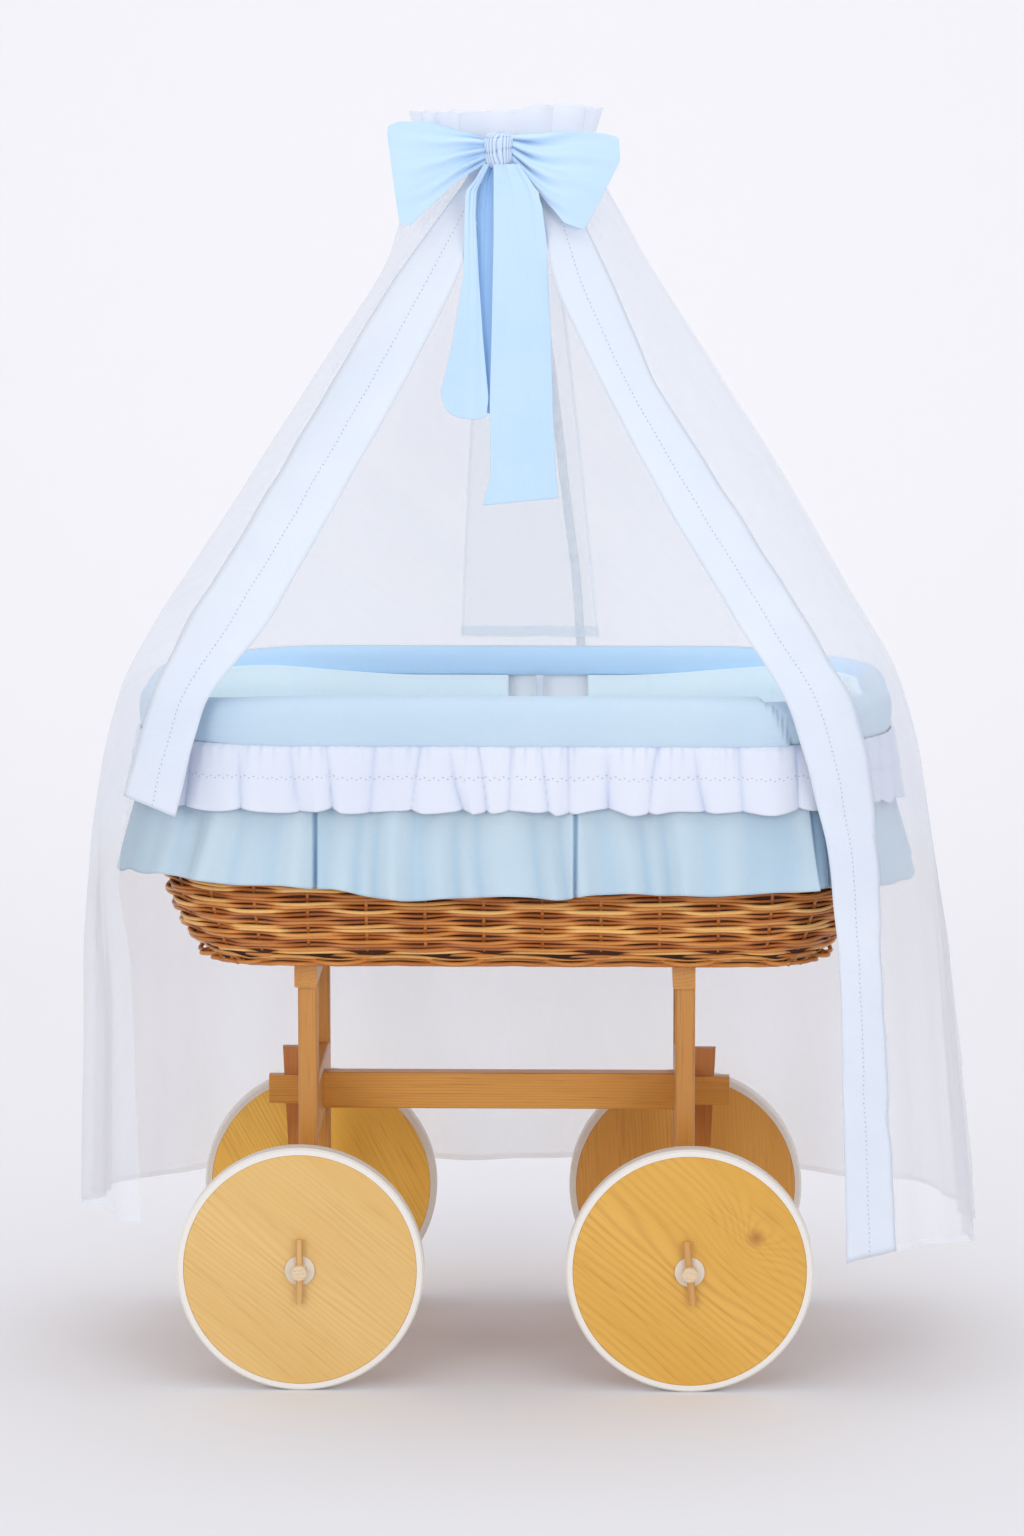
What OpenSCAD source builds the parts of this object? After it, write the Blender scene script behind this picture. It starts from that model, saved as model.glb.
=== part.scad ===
// Wheeled wicker bassinet on a knock-down wooden stand, with a padded and
// skirted lining and a sheer canopy gathered on a ring above it.
// Millimetres, +Z up. X runs along the basket and the front is -Y. The
// origin is on the floor below the middle of the basket.

/* [Wheels] */
// Outside diameter of a wheel over its rubber tyre
wheel_d = 250; // [230:1:256]
// Thickness of a wheel disc
wheel_t = 22; // [18:1:24]
// Radial thickness of the rubber tyre
tyre_t = 7; // [5:1:10]
// Distance between the two axles
wheel_base = 393; // [380:1:410]
// Distance between the wheel middles on one axle
wheel_track = 400; // [392:1:404]
// Diameter of an axle dowel
axle_d = 15; // [13:1:16]
// Diameter of the wooden cross pins in the axle ends
pin_d = 7.3; // [6:0.1:8]
// Length of a cross pin
pin_l = 66; // [50:1:80]
// Outside diameter of the wheel washers
washer_d = 30; // [26:1:36]
// Thickness of an outer wheel washer
washer_t = 3; // [2:0.5:3]

/* [Stand] */
// How far the stand sits to the left of the basket's middle, as a shift in X
stand_x = -18; // [-22:1:-10]
// Side of the square posts
post_w = 20; // [18:1:22]
// Distance between the two end frames, post middle to post middle
post_pitch_x = 384; // [376:1:392]
// Distance between the front and the rear posts
post_pitch_y = 236; // [220:1:240]
// Height of the underside of the rails that carry the basket
rail_z = 400; // [395:1:405]
// Height of a rail that carries the basket
rail_h = 24; // [22:1:24]
// Length of a rail that carries the basket
rail_l = 268; // [260:1:280]
// Height of an axle block
block_h = 44; // [40:1:50]
// Width of an axle block
block_w = 32; // [28:1:36]
// Height of a cross rail between the posts of one end frame
cross_h = 56; // [50:1:60]
// Height of the stretcher plank
stretcher_h = 38; // [34:1:40]
// Thickness of the stretcher plank
stretcher_t = 22; // [18:1:24]
// Height of the middle of the stretcher above the floor
stretcher_z = 269; // [262:1:274]
// Length of the stretcher over its tenons
stretcher_l = 479; // [470:1:490]
// Height of a tusk wedge
wedge_h = 104; // [96:1:110]
// Thickness of a tusk wedge
wedge_t = 9; // [8:0.5:10]

/* [Basket] */
// Length of the wicker rim
rim_l = 750; // [744:1:756]
// Width of the wicker rim
rim_w = 430; // [426:1:432]
// Plan radius of the rim's corners
rim_r = 140; // [136:1:144]
// Height of the top of the wicker above the floor
rim_z = 700; // [696:1:702]
// Thickness of the wicker wall
wicker_t = 9; // [8:0.5:10]
// Thickness of the plywood base board
board_t = 6; // [5:0.5:6]
// Height of the mattress's top face above the floor
mattress_z = 500; // [490:1:505]

/* [Textiles] */
// Height of the top of the padded rim cover
cover_z = 709; // [709:1:712]
// Height of the seam where the frill is sewn to the rim cover
frill_top_z = 659; // [656:1:662]
// Height of the frill's lower edge
frill_low_z = 593; // [588:1:600]
// Height of the skirt's lower edge
skirt_low_z = 505; // [500:1:512]
// Thickness of the padded nest round the inside
nest_t = 22; // [18:1:24]
// Height of the nest's upper edge
nest_z = 690; // [686:1:692]
// Width of the gap between the nest's two ends
nest_gap = 84; // [70:1:90]
// Width of the ribbon that hangs in that gap
tie_w = 8; // [6:1:12]
// Thickness given to the hanging cloth
cloth_t = 4; // [3:0.5:4]

/* [Canopy] */
// Diameter of the canopy pole
pole_d = 10; // [9:0.5:10.5]
// Height of the ring at the top of the pole
ring_z = 1231; // [1230:1:1232]
// Length of the oval ring, middle of wire to middle of wire
ring_l = 160; // [156:1:162]
// Width of the oval ring, middle of wire to middle of wire
ring_w = 80; // [78:1:82]
// Diameter of the ring's wire
ring_wire_d = 6; // [5:0.5:6]
// Height of the top of the ruffle above the floor
ruffle_z = 1289; // [1275:1:1295]
// Height of the canopy's lower hem above the floor
hem_z = 122; // [118:1:130]

/* [Hidden] */
$fn = 64;
fit = 0.05;              // radial clearance of a wheel on its axle
glue = 0.1;              // clearance of a glued tenon in its mortise
clear = 0.4;             // clearance between pieces that turn past each other

wheel_r = wheel_d / 2;
disc_r = wheel_r - tyre_t;
axle_r = axle_d / 2;
bore_r = axle_r + fit;
wheel_x = wheel_base / 2;
wheel_y = wheel_track / 2;
washer_y = wheel_y + wheel_t / 2 + clear;
pin_y = washer_y + washer_t + pin_d / 2 + 0.3;
axle_l = 2 * (pin_y + pin_d / 2 + 5);
spacer_t = 5.6;
spacer_y = wheel_y - wheel_t / 2 - clear - spacer_t;
block_l = 2 * spacer_y;
pin_tilt = [0, 6, -20, 12];      // lean of each cross pin from upright, in degrees

post_x = post_pitch_x / 2;
post_y = post_pitch_y / 2;
tenon_w = 12;
tenon_l = 10;
rail_w = post_w + 3;
rail_dx = -1.5;                  // the rails are flush with the posts' right faces
block_top = wheel_r + block_h / 2;
tenon_h = stretcher_h - 8;
wedge_top_w = 23;
wedge_low_w = 18;
wedge_x = post_x + post_w / 2;

half_l = rim_l / 2;
half_w = rim_w / 2;
basket_z = rail_z + rail_h;
floor_t = 8;                     // thickness of the woven floor
board_z = basket_z + floor_t + 0.5;
bed_z = board_z + board_t + 0.5; // underside of the mattress
screw_y = 84;
floor_in = 66;                   // how far the woven floor's edge stands in from the rim
board_in = 68;                   // the same for the base board
// The wicker wall from its foot to its rim: how far it stands in from the rim, and height
WALL = [[-62, 0], [-52, 6], [-39, 24], [-19, 68], [-9, 136], [-3, 216], [0, rim_z - basket_z]];

nest_gap_x = 30;                 // middle of the gap between the nest's ends
tie_at = [18, 184, 560];         // the ribbon's lower front left corner

pole_x = 66;
pole_y = 243;
pole_r = pole_d / 2;
// The pole's route, from its holder up to the back of the ring
POLE = [
  [66, 243, 576], [66, 243, 640], [65, 242, 700], [60, 232, 776], [47, 198, 885],
  [34, 150, 1005], [20, 102, 1110], [4, 74, 1170], [-8, 58, 1208], [-11, 55, 1220], [-11, 55, 1227.9]
];
holder_z = 572;
holder_h = 34;
plate_h = 60;
plate_drop = 22;
sleeve_h = 26;
SCREW_HEIGHTS = [holder_z - 15, holder_z + 31];
ring_x = -11;
ring_y = 15;
BACK_ANGLE = 62;                 // where the canopy's side panels meet the back panel
BACK_GAP = 0.3;
HEM_SPLIT = 0.4;                 // gap in Z between the tent and the drapes sewn below it
left_band_z = 596;               // height of the left band's end

// The bow: heights and distances as drawn from the front, then where each piece lies in Y
LEFT_LOOP = [
  [-33, 1256], [-33, 1232], [-78, 1194], [-92, 1173], [-116, 1166], [-122, 1218], [-129, 1271],
  [-78, 1271]
];
RIGHT_LOOP = [
  [-1, 1256], [-1, 1232], [16, 1212], [50, 1172], [70, 1165], [92, 1200], [105, 1233],
  [104, 1253], [76, 1260]
];
LEFT_TAIL = [[-30, 1224], [-12, 1224], [-18, 1080], [-25, 969], [-60, 975], [-73, 992], [-44, 1120]];
RIGHT_TAIL = [
  [-24, 1224], [2, 1224], [28, 1150], [38, 1000], [43, 893], [-32, 885], [-27, 1000], [-20, 1130]
];
knot_x = -17;
knot_y = -41;                    // back of the knot, just in front of the ruffle
knot_z = 1243;
knot_size = [31, 36, 31];        // width, height and depth
loop_y = -50;
loop_t = 18;
left_tail_y = -60;
right_tail_y = -66;
tail_t = 5;

// The canopy from the ring to the hem: height, half-length, half-width, middle Y,
// squareness of the outline (2 is an ellipse) and middle X
CANOPY = [
  [1225, 86, 46, 14, 2.0, ring_x],
  [1110, 139, 103, 22, 2.1, 2],
  [1005, 205, 144, 18, 2.2, 2],
  [885, 281, 201, 12, 2.6, 0],
  [776, 354, 241, 4, 3.0, -5],
  [710, 393, 253, 0, 3.6, -4],
  [644, 412, 254, 0, 4.0, -3],
  [560, 424, 254, 0, 4.4, -3],
  [440, 436, 254, 0, 4.4, 2],
  [hem_z, 452, 254, 0, 4.4, 7]
];
RIM_STATION = 5;                 // the station where the tent ends and the drapes begin
STATIONS = len(CANOPY);
TENT = [for (i = [0:RIM_STATION]) i];
DRAPE = [for (i = [RIM_STATION:STATIONS - 1]) i];
// How far the front edges stand from the middle at each of those heights: the
// inner and outer edge of the left band, then of the right band
LEFT_BAND = [[18, 40], [59, 122], [113, 185], [182, 255], [244, 324], [302, 356], [318, 376], [0, 0]];
RIGHT_BAND = [
  [18, 40], [38, 96], [90, 142], [157, 222], [226, 292], [270, 334],
  [291, 352], [312, 361], [325, 366], [335, 385]
];
LEFT_EDGE = [40, 122, 185, 255, 324, 356, 376, 394, 382, 374];
band_gap = 1.0;                  // gap in X between a band and the panel sewn to it
// The second layer inside the canopy's back: height, half-width and Y
PANEL = [[1190, 34, 40], [1110, 42, 86], [1005, 52, 132], [885, 62, 178], [776, 70, 212], [716, 74, 226]];
panel_x = 10;
panel_lean = 0.02;               // how far it shifts in X for each millimetre of height
panel_t = 3;

wood = "#c99a58";
pale_wood = "#e6be73";
sky = "#c3d7e6";
voile = "#e7effc";

// ---------- shared shapes ----------

// A rectangle with round corners, exact arcs
module round_rect(w, h, r) {
  square([w - 2 * r, h], center = true);
  square([w, h - 2 * r], center = true);
  for (sx = [-1, 1], sy = [-1, 1]) translate([sx * (w / 2 - r), sy * (h / 2 - r)]) circle(r, $fn = 32);
}

// A bar along Y with round long edges, w wide in X and h high in Z
module bar_y(l, w, h, r) {
  rotate([90, 0, 0]) linear_extrude(l, center = true) round_rect(w, h, r);
}

// Moves its children to one end frame of the stand: side is -1 left, 1 right
module at_frame(side) {
  translate([stand_x + side * post_x, 0, 0]) children();
}

// A cylinder along Y from y0 to y1
module rod_y(r, y0, y1) {
  translate([0, y0, 0]) rotate([-90, 0, 0]) cylinder(r = r, h = y1 - y0);
}

// Sweeps its 2D child, drawn as [distance outside the rim, height], along part of the rim
module along_front(side) {
  mirror([0, side < 0 ? 1 : 0, 0]) translate([-(half_l - rim_r), half_w, 0])
    rotate([90, 0, 90]) linear_extrude(2 * (half_l - rim_r)) children();
}

module round_end(side) {
  mirror([side < 0 ? 1 : 0, 0, 0]) {
    translate([half_l, half_w - rim_r, 0]) rotate([90, 0, 0])
      linear_extrude(2 * (half_w - rim_r)) children();
    for (m = [0, 1]) mirror([0, m, 0]) translate([half_l - rim_r, half_w - rim_r, 0])
      rotate_extrude(angle = 90) translate([rim_r, 0]) children();
  }
}

module round_rim() {
  for (side = [-1, 1]) {
    along_front(side) children();
    round_end(side) children();
  }
}

// The plan outline of the rim, moved in by inset
module rim_plan(inset) {
  round_rect(rim_l - 2 * inset, rim_w - 2 * inset, rim_r - inset);
}

// How far the wicker's outer face stands in from the rim at height z
function wall_in(z) = -lookup(z - basket_z, [for (p = WALL) [p[1], p[0]]]);

// A closed wall whose outer face follows the wicker's inner face at a distance
module lining(gap, t, z0, z1) {
  steps = 6;
  zs = [for (i = [0:steps]) z0 + (z1 - z0) * i / steps];
  outer = [for (z = zs) [-wall_in(z) - wicker_t - gap, z]];
  inner = [for (i = [steps:-1:0]) [outer[i][0] - t, zs[i]]];
  polygon(concat(outer, inner));
}

// A tube of round section that follows a list of points
module tube(points, r, sides) {
  n = len(points);
  function dir(i) = points[min(i + 1, n - 1)] - points[max(i - 1, 0)];
  function unit(v) = v / norm(v);
  rings = [for (i = [0:n - 1]) let(d = unit(dir(i)), a = unit(cross(d, [1, 0, 0])), b = cross(d, a))
    for (k = [0:sides - 1]) points[i] + r * (cos(360 * k / sides) * a + sin(360 * k / sides) * b)];
  walls = [for (i = [0:n - 2], k = [0:sides - 1])
    let(k2 = (k + 1) % sides) [i * sides + k, i * sides + k2, (i + 1) * sides + k2, (i + 1) * sides + k]];
  ends = [[for (k = [sides - 1:-1:0]) k], [for (k = [0:sides - 1]) (n - 1) * sides + k]];
  polyhedron(rings, concat(walls, ends), convexity = 6);
}

// A sheet of cloth between two grids of points, both given row by row
module thick_sheet(outer, inner, cols) {
  rows = len(outer) / cols;
  m = len(outer);
  function at(i, j) = i * cols + j;
  out_faces = [for (i = [0:rows - 2], j = [0:cols - 2])
    each [[at(i, j), at(i, j + 1), at(i + 1, j + 1)], [at(i, j), at(i + 1, j + 1), at(i + 1, j)]]];
  in_faces = [for (f = out_faces) [m + f[2], m + f[1], m + f[0]]];
  rim = concat(
    [for (j = [cols - 1:-1:1]) [at(0, j), at(0, j - 1)]],
    [for (i = [0:rows - 2]) [at(i, 0), at(i + 1, 0)]],
    [for (j = [0:cols - 2]) [at(rows - 1, j), at(rows - 1, j + 1)]],
    [for (i = [rows - 1:-1:1]) [at(i, cols - 1), at(i - 1, cols - 1)]]
  );
  edge = [for (e = rim) each [[e[0], e[1], m + e[1]], [e[0], m + e[1], m + e[0]]]];
  polyhedron(concat(outer, inner), concat(out_faces, in_faces, edge), convexity = 6);
}

// One point of the canopy at a station, a given distance out from its inner
// face, at an angle from the end (0) towards the back (90)
function canopy_point(s, out, angle) = let(e = 2 / s[4])
  [s[5] + sign(cos(angle)) * (s[1] + out) * pow(abs(cos(angle)), e),
   s[3] + sign(sin(angle)) * (s[2] + out) * pow(abs(sin(angle)), e), s[0]];

// The angle at which the canopy's front half stands x from the middle
function front_angle(s, x) = -acos(pow(min(x / s[1], 1), s[4] / 2));

// Part of the canopy between two angles at each station; side is -1 left, 1 right
module canopy_part(stations, from, to, cols, side) {
  grid = function(out) [for (i = [0:len(stations) - 1], j = [0:cols - 1])
    let(a = from[i] + (to[i] - from[i]) * j / (cols - 1), p = canopy_point(stations[i], out, a))
    side > 0 ? p : [2 * stations[i][5] - p[0], p[1], p[2]]];
  outer = grid(cloth_t);
  inner = grid(0);
  if (side > 0) thick_sheet(inner, outer, cols);
  else thick_sheet(outer, inner, cols);
}

// ---------- wheels and axles ----------

module disc(sx, sy) {
  color(pale_wood) translate([stand_x + sx * wheel_x, sy * wheel_y, wheel_r]) rotate([90, 0, 0])
    rotate_extrude($fn = 128) polygon([
      [bore_r, -wheel_t / 2 + 0.6], [bore_r + 0.6, -wheel_t / 2], [disc_r - 0.8, -wheel_t / 2],
      [disc_r, -wheel_t / 2 + 0.8], [disc_r, wheel_t / 2 - 0.8], [disc_r - 0.8, wheel_t / 2],
      [bore_r + 0.6, wheel_t / 2], [bore_r, wheel_t / 2 - 0.6]
    ]);
}

module tyre(sx, sy) {
  color("#e1dcd9") translate([stand_x + sx * wheel_x, sy * wheel_y, wheel_r]) rotate([90, 0, 0])
    rotate_extrude($fn = 128) polygon([
      [disc_r, -wheel_t / 2], [wheel_r - 2, -wheel_t / 2], [wheel_r, -wheel_t / 2 + 2.5],
      [wheel_r, wheel_t / 2 - 2.5], [wheel_r - 2, wheel_t / 2], [disc_r, wheel_t / 2]
    ]);
}

module wheel_front_left() { disc(-1, -1); }
module wheel_front_right() { disc(1, -1); }
module wheel_rear_left() { disc(-1, 1); }
module wheel_rear_right() { disc(1, 1); }
module tyre_front_left() { tyre(-1, -1); }
module tyre_front_right() { tyre(1, -1); }
module tyre_rear_left() { tyre(-1, 1); }
module tyre_rear_right() { tyre(1, 1); }

// One cross pin, or the hole for it when r is larger than the pin
module cross_pin(sx, sy, r, l) {
  tilt = pin_tilt[(sx > 0 ? 1 : 0) + (sy > 0 ? 2 : 0)];
  translate([stand_x + sx * wheel_x, sy * pin_y, wheel_r]) rotate([0, -tilt, 0])
    cylinder(r = r, h = l, center = true);
}

module axle(sx) {
  color(pale_wood) difference() {
    translate([stand_x + sx * wheel_x, 0, wheel_r]) rod_y(axle_r, -axle_l / 2, axle_l / 2);
    for (sy = [-1, 1]) cross_pin(sx, sy, pin_d / 2 + fit, axle_d * 2);
  }
}

module axle_left() { axle(-1); }
module axle_right() { axle(1); }

module cross_pins(sx) {
  color(wood) for (sy = [-1, 1]) cross_pin(sx, sy, pin_d / 2, pin_l);
}

module cross_pins_left() { cross_pins(-1); }
module cross_pins_right() { cross_pins(1); }

// Flat rings round the axles, all four, from y0 to y1 on each side
module rings_on_axles(r, y0, y1) {
  for (sx = [-1, 1], m = [0, 1]) mirror([0, m, 0]) difference() {
    translate([stand_x + sx * wheel_x, 0, wheel_r]) rod_y(r, y0, y1);
    translate([stand_x + sx * wheel_x, 0, wheel_r]) rod_y(bore_r, y0 - 1, y1 + 1);
  }
}

module outer_washers() {
  color("#efe2d0") rings_on_axles(washer_d / 2, washer_y, washer_y + washer_t);
}

module inner_spacers() {
  color("#efe2d0") rings_on_axles(washer_d / 2, spacer_y, spacer_y + spacer_t);
}

// ---------- stand ----------

module axle_block(side) {
  color(wood) difference() {
    translate([stand_x + side * wheel_x, 0, wheel_r]) bar_y(block_l, block_w, block_h, 4);
    translate([stand_x + side * wheel_x, 0, wheel_r]) rod_y(axle_r, -block_l, block_l);
    for (sy = [-1, 1]) at_frame(side) translate([0, sy * post_y, block_top])
      cube([tenon_w + 2 * glue, tenon_w + 2 * glue, 2 * (tenon_l + glue)], center = true);
  }
}

module axle_block_left() { axle_block(-1); }
module axle_block_right() { axle_block(1); }

// A post with a tenon at each end and a mortise for the cross rail
module post(side, sy) {
  color(wood) at_frame(side) difference() {
    translate([0, sy * post_y, 0]) union() {
      translate([0, 0, block_top]) linear_extrude(rail_z - block_top) round_rect(post_w, post_w, 4);
      translate([-tenon_w / 2, -tenon_w / 2, block_top - tenon_l])
        cube([tenon_w, tenon_w, rail_z - block_top + 2 * tenon_l]);
    }
    translate([0, sy * (post_y - post_w / 2), stretcher_z])
      cube([tenon_w + 2 * glue, 2 * (tenon_l + glue), cross_h - 16 + 2 * glue], center = true);
  }
}

module post_front_left() { post(-1, -1); }
module post_front_right() { post(1, -1); }
module post_rear_left() { post(-1, 1); }
module post_rear_right() { post(1, 1); }

// The rail between two posts that the stretcher's tenon passes through
module cross_rail(side) {
  inner_l = post_pitch_y - post_w;
  color(wood) at_frame(side) difference() {
    translate([0, 0, stretcher_z]) union() {
      bar_y(inner_l, post_w, cross_h, 3);
      cube([tenon_w, inner_l + 2 * tenon_l, cross_h - 16], center = true);
    }
    translate([0, 0, stretcher_z])
      cube([2 * post_w, tenon_w + 2 * glue, tenon_h + 2 * glue], center = true);
  }
}

module cross_rail_left() { cross_rail(-1); }
module cross_rail_right() { cross_rail(1); }

module top_rail(side) {
  color(wood) at_frame(side) difference() {
    translate([rail_dx, 0, rail_z + rail_h / 2]) bar_y(rail_l, rail_w, rail_h, 2);
    for (sy = [-1, 1]) translate([0, sy * post_y, rail_z])
      cube([tenon_w + 2 * glue, tenon_w + 2 * glue, 2 * (tenon_l + glue)], center = true);
    for (sy = [-1, 1]) translate([0, sy * screw_y, rail_z + 6]) cylinder(r = 2.1, h = rail_h);
  }
}

module top_rail_left() { top_rail(-1); }
module top_rail_right() { top_rail(1); }

// A tusk wedge's outline: upright against the cross rail, tapered outside
module wedge_outline(more) {
  polygon([
    [wedge_x, -wedge_h / 2 - more], [wedge_x + wedge_low_w, -wedge_h / 2 - more],
    [wedge_x + wedge_low_w, -wedge_h / 2], [wedge_x + wedge_top_w, wedge_h / 2],
    [wedge_x + wedge_top_w, wedge_h / 2 + more], [wedge_x, wedge_h / 2 + more]
  ]);
}

module wedge_solid(side, t, more) {
  translate([stand_x, 0, stretcher_z - 7]) mirror([side < 0 ? 1 : 0, 0, 0])
    rotate([90, 0, 0]) linear_extrude(t, center = true) wedge_outline(more);
}

module wedge_left() { color("#c37f33") wedge_solid(-1, wedge_t, 0); }
module wedge_right() { color("#c37f33") wedge_solid(1, wedge_t, 0); }

module stretcher() {
  shoulder = post_pitch_x - post_w;
  color("#c2873e") difference() {
    translate([stand_x, 0, stretcher_z]) union() {
      rotate([0, 90, 0]) linear_extrude(shoulder, center = true)
        round_rect(stretcher_h, stretcher_t, 2);
      cube([stretcher_l, tenon_w, tenon_h], center = true);
    }
    for (side = [-1, 1]) wedge_solid(side, wedge_t + 2 * glue, 1);
  }
}

// ---------- basket ----------

// The wicker wall's outline, thickened inwards
module wicker_wall() {
  outer = [for (p = WALL) [p[0], p[1] + basket_z]];
  n = len(outer);
  inner = [for (i = [n - 1:-1:0]) [outer[i][0] - wicker_t, outer[i][1]]];
  polygon(concat(outer, inner));
}

module wicker_basket() {
  color("#c5956b") difference() {
    union() {
      round_rim() wicker_wall();
      translate([0, 0, basket_z]) linear_extrude(floor_t) rim_plan(floor_in);
    }
    screw_holes(2.7);
  }
}

module screw_holes(r) {
  for (side = [-1, 1], sy = [-1, 1]) at_frame(side)
    translate([0, sy * screw_y, basket_z - 1]) cylinder(r = r, h = 30);
}

module base_board() {
  color("#d8b98a") difference() {
    translate([0, 0, board_z]) linear_extrude(board_t) rim_plan(board_in);
    screw_holes(2.7);
    for (side = [-1, 1], sy = [-1, 1]) at_frame(side)
      translate([0, sy * screw_y, board_z + board_t - 3]) cylinder(r1 = 2.7, r2 = 5.7, h = 3.01);
  }
}

module base_screws() {
  color("silver") for (side = [-1, 1], sy = [-1, 1]) at_frame(side)
    translate([0, sy * screw_y, 0]) union() {
      translate([0, 0, rail_z + 8]) cylinder(r = 2, h = board_z + board_t - rail_z - 10.8);
      translate([0, 0, board_z + board_t - 2.9]) cylinder(r1 = 2.2, r2 = 5, h = 2.8);
    }
}

module mattress() {
  inset = wall_in(bed_z) + wicker_t + 6;
  color("#f4f4f2") translate([0, 0, bed_z]) linear_extrude(mattress_z - bed_z) rim_plan(inset);
}

module liner() {
  color("#f2f2f5") round_rim() lining(0.5, 1.5, bed_z, rim_z - 4);
}

module padded_nest() {
  color("#cde2f5") difference() {
    round_rim() lining(4.5, nest_t, mattress_z + 3, nest_z);
    translate([nest_gap_x - nest_gap / 2, 0, mattress_z]) cube([nest_gap, half_w, nest_z]);
  }
}

// A ribbon that hangs in the gap between the nest's ends
module nest_tie() {
  color("#c3defa") translate([tie_at[0], tie_at[1], tie_at[2]]) cube([tie_w, 3, nest_z - 10 - tie_at[2]]);
}

// ---------- cover, frill and skirt ----------

module rim_cover() {
  color("#cadff2") round_rim() polygon([
    [1, frill_top_z], [9, frill_top_z], [10, cover_z - 24], [7, cover_z - 8], [1, cover_z - 1],
    [-6, cover_z], [-14, cover_z - 2], [-21, cover_z - 9], [-23, cover_z - 16],
    [-12, cover_z - 16], [-10, rim_z + 1.5], [1, rim_z + 1.5]
  ]);
}

module frill() {
  color("#dfe5f3") round_rim() polygon([
    [8, frill_top_z - 1], [11, frill_top_z - 1], [17, frill_low_z], [17 - cloth_t, frill_low_z]
  ]);
}

module skirt_outline() {
  top = frill_top_z - 4;
  polygon([
    [1, top], [1 + cloth_t, top], [9.5, frill_low_z], [31, skirt_low_z],
    [31 - cloth_t, skirt_low_z], [9.5 - cloth_t, frill_low_z]
  ]);
}

module skirt_front() { color(sky) along_front(-1) skirt_outline(); }
module skirt_left() { color(sky) round_end(-1) skirt_outline(); }
module skirt_right() { color(sky) round_end(1) skirt_outline(); }

// The back panel has a buttonhole for the arm of the pole holder
module skirt_back() {
  color(sky) difference() {
    along_front(1) skirt_outline();
    translate([pole_x - 14, half_w - 5, holder_z - 4]) cube([28, 40, holder_h]);
  }
}

// ---------- canopy ----------

// The plate's inner face, just clear of the wicker at the plate's top
function plate_y() = half_w - wall_in(holder_z + plate_h - plate_drop) + 0.3;

module pole_holder() {
  y = plate_y();
  color("#e9e9ea") difference() {
    union() {
      translate([pole_x - 13, y, holder_z - plate_drop]) cube([26, 3, plate_h]);
      translate([pole_x - 6, y, holder_z + 4]) cube([12, pole_y - y - pole_r, 16]);
      translate([pole_x, pole_y, holder_z]) cylinder(r = pole_r + 3, h = sleeve_h);
    }
    translate([pole_x, pole_y, holder_z + 3]) cylinder(r = pole_r + fit, h = sleeve_h);
    for (z = SCREW_HEIGHTS) translate([pole_x, 0, z]) rod_y(2.2, 150, 300);
  }
}

// Screws that hold the plate of the pole holder to the wicker
module holder_screws() {
  for (z = SCREW_HEIGHTS) color("silver") translate([pole_x, 0, z])
    rod_y(4, plate_y() + 3.1, plate_y() + 4.9);
}

module canopy_pole() { color("#f4f5f8") tube(POLE, pole_r - 0.02, 16); }

// The oval ring that the canopy is gathered on
module canopy_ring() {
  straight = ring_l - ring_w;
  wire_r = ring_wire_d / 2;
  color("#f4f5f8") translate([ring_x, ring_y, ring_z]) {
    for (side = [-1, 1]) {
      translate([-straight / 2, side * ring_w / 2, 0]) rotate([0, 90, 0])
        cylinder(r = wire_r, h = straight, $fn = 32);
      mirror([side < 0 ? 1 : 0, 0, 0]) translate([straight / 2, 0, 0]) rotate([0, 0, -90])
        rotate_extrude(angle = 180) translate([ring_w / 2, 0]) circle(wire_r, $fn = 32);
    }
  }
}

// The stations of a run, with the drapes' first one just below the tent's last
function run(which) = [for (i = which)
  let(s = CANOPY[i], drop = (i == RIM_STATION && which == DRAPE) ? HEM_SPLIT : 0)
  [s[0] - drop, s[1], s[2], s[3], s[4], s[5]]];

module cloth_left(which) {
  from = [for (i = which) front_angle(CANOPY[i], LEFT_EDGE[i] + band_gap + CANOPY[i][5])];
  to = [for (i = which) BACK_ANGLE - BACK_GAP];
  color(voile, 0.6) canopy_part(run(which), from, to, 13, -1);
}

module cloth_right(which) {
  from = [for (i = which) front_angle(CANOPY[i], RIGHT_BAND[i][1] + band_gap - CANOPY[i][5])];
  to = [for (i = which) BACK_ANGLE - BACK_GAP];
  color(voile, 0.6) canopy_part(run(which), from, to, 13, 1);
}

module cloth_back(which) {
  from = [for (i = which) BACK_ANGLE];
  to = [for (i = which) 180 - BACK_ANGLE];
  color(voile, 0.6) canopy_part(run(which), from, to, 9, 1);
}

module canopy_left() { cloth_left(TENT); }
module canopy_right() { cloth_right(TENT); }
module canopy_back() { cloth_back(TENT); }
module drape_left() { cloth_left(DRAPE); }
module drape_right() { cloth_right(DRAPE); }
module drape_back() { cloth_back(DRAPE); }

// The hemstitched band down each front edge
module band_left() {
  last = concat([left_band_z], [for (k = [1:5]) CANOPY[6][k]]);
  stations = [for (i = [0:6]) i < 6 ? CANOPY[i] : last];
  from = [for (i = [0:6]) front_angle(stations[i], LEFT_BAND[i][0] + stations[i][5])];
  to = [for (i = [0:6]) front_angle(stations[i], LEFT_BAND[i][1] + stations[i][5])];
  color("#eaf2fd") canopy_part(stations, from, to, 4, -1);
}

module band_right() {
  from = [for (i = [0:STATIONS - 1]) front_angle(CANOPY[i], RIGHT_BAND[i][0] - CANOPY[i][5])];
  to = [for (i = [0:STATIONS - 1]) front_angle(CANOPY[i], RIGHT_BAND[i][1] - CANOPY[i][5])];
  color("#eaf2fd") canopy_part(CANOPY, from, to, 4, 1);
}

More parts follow.
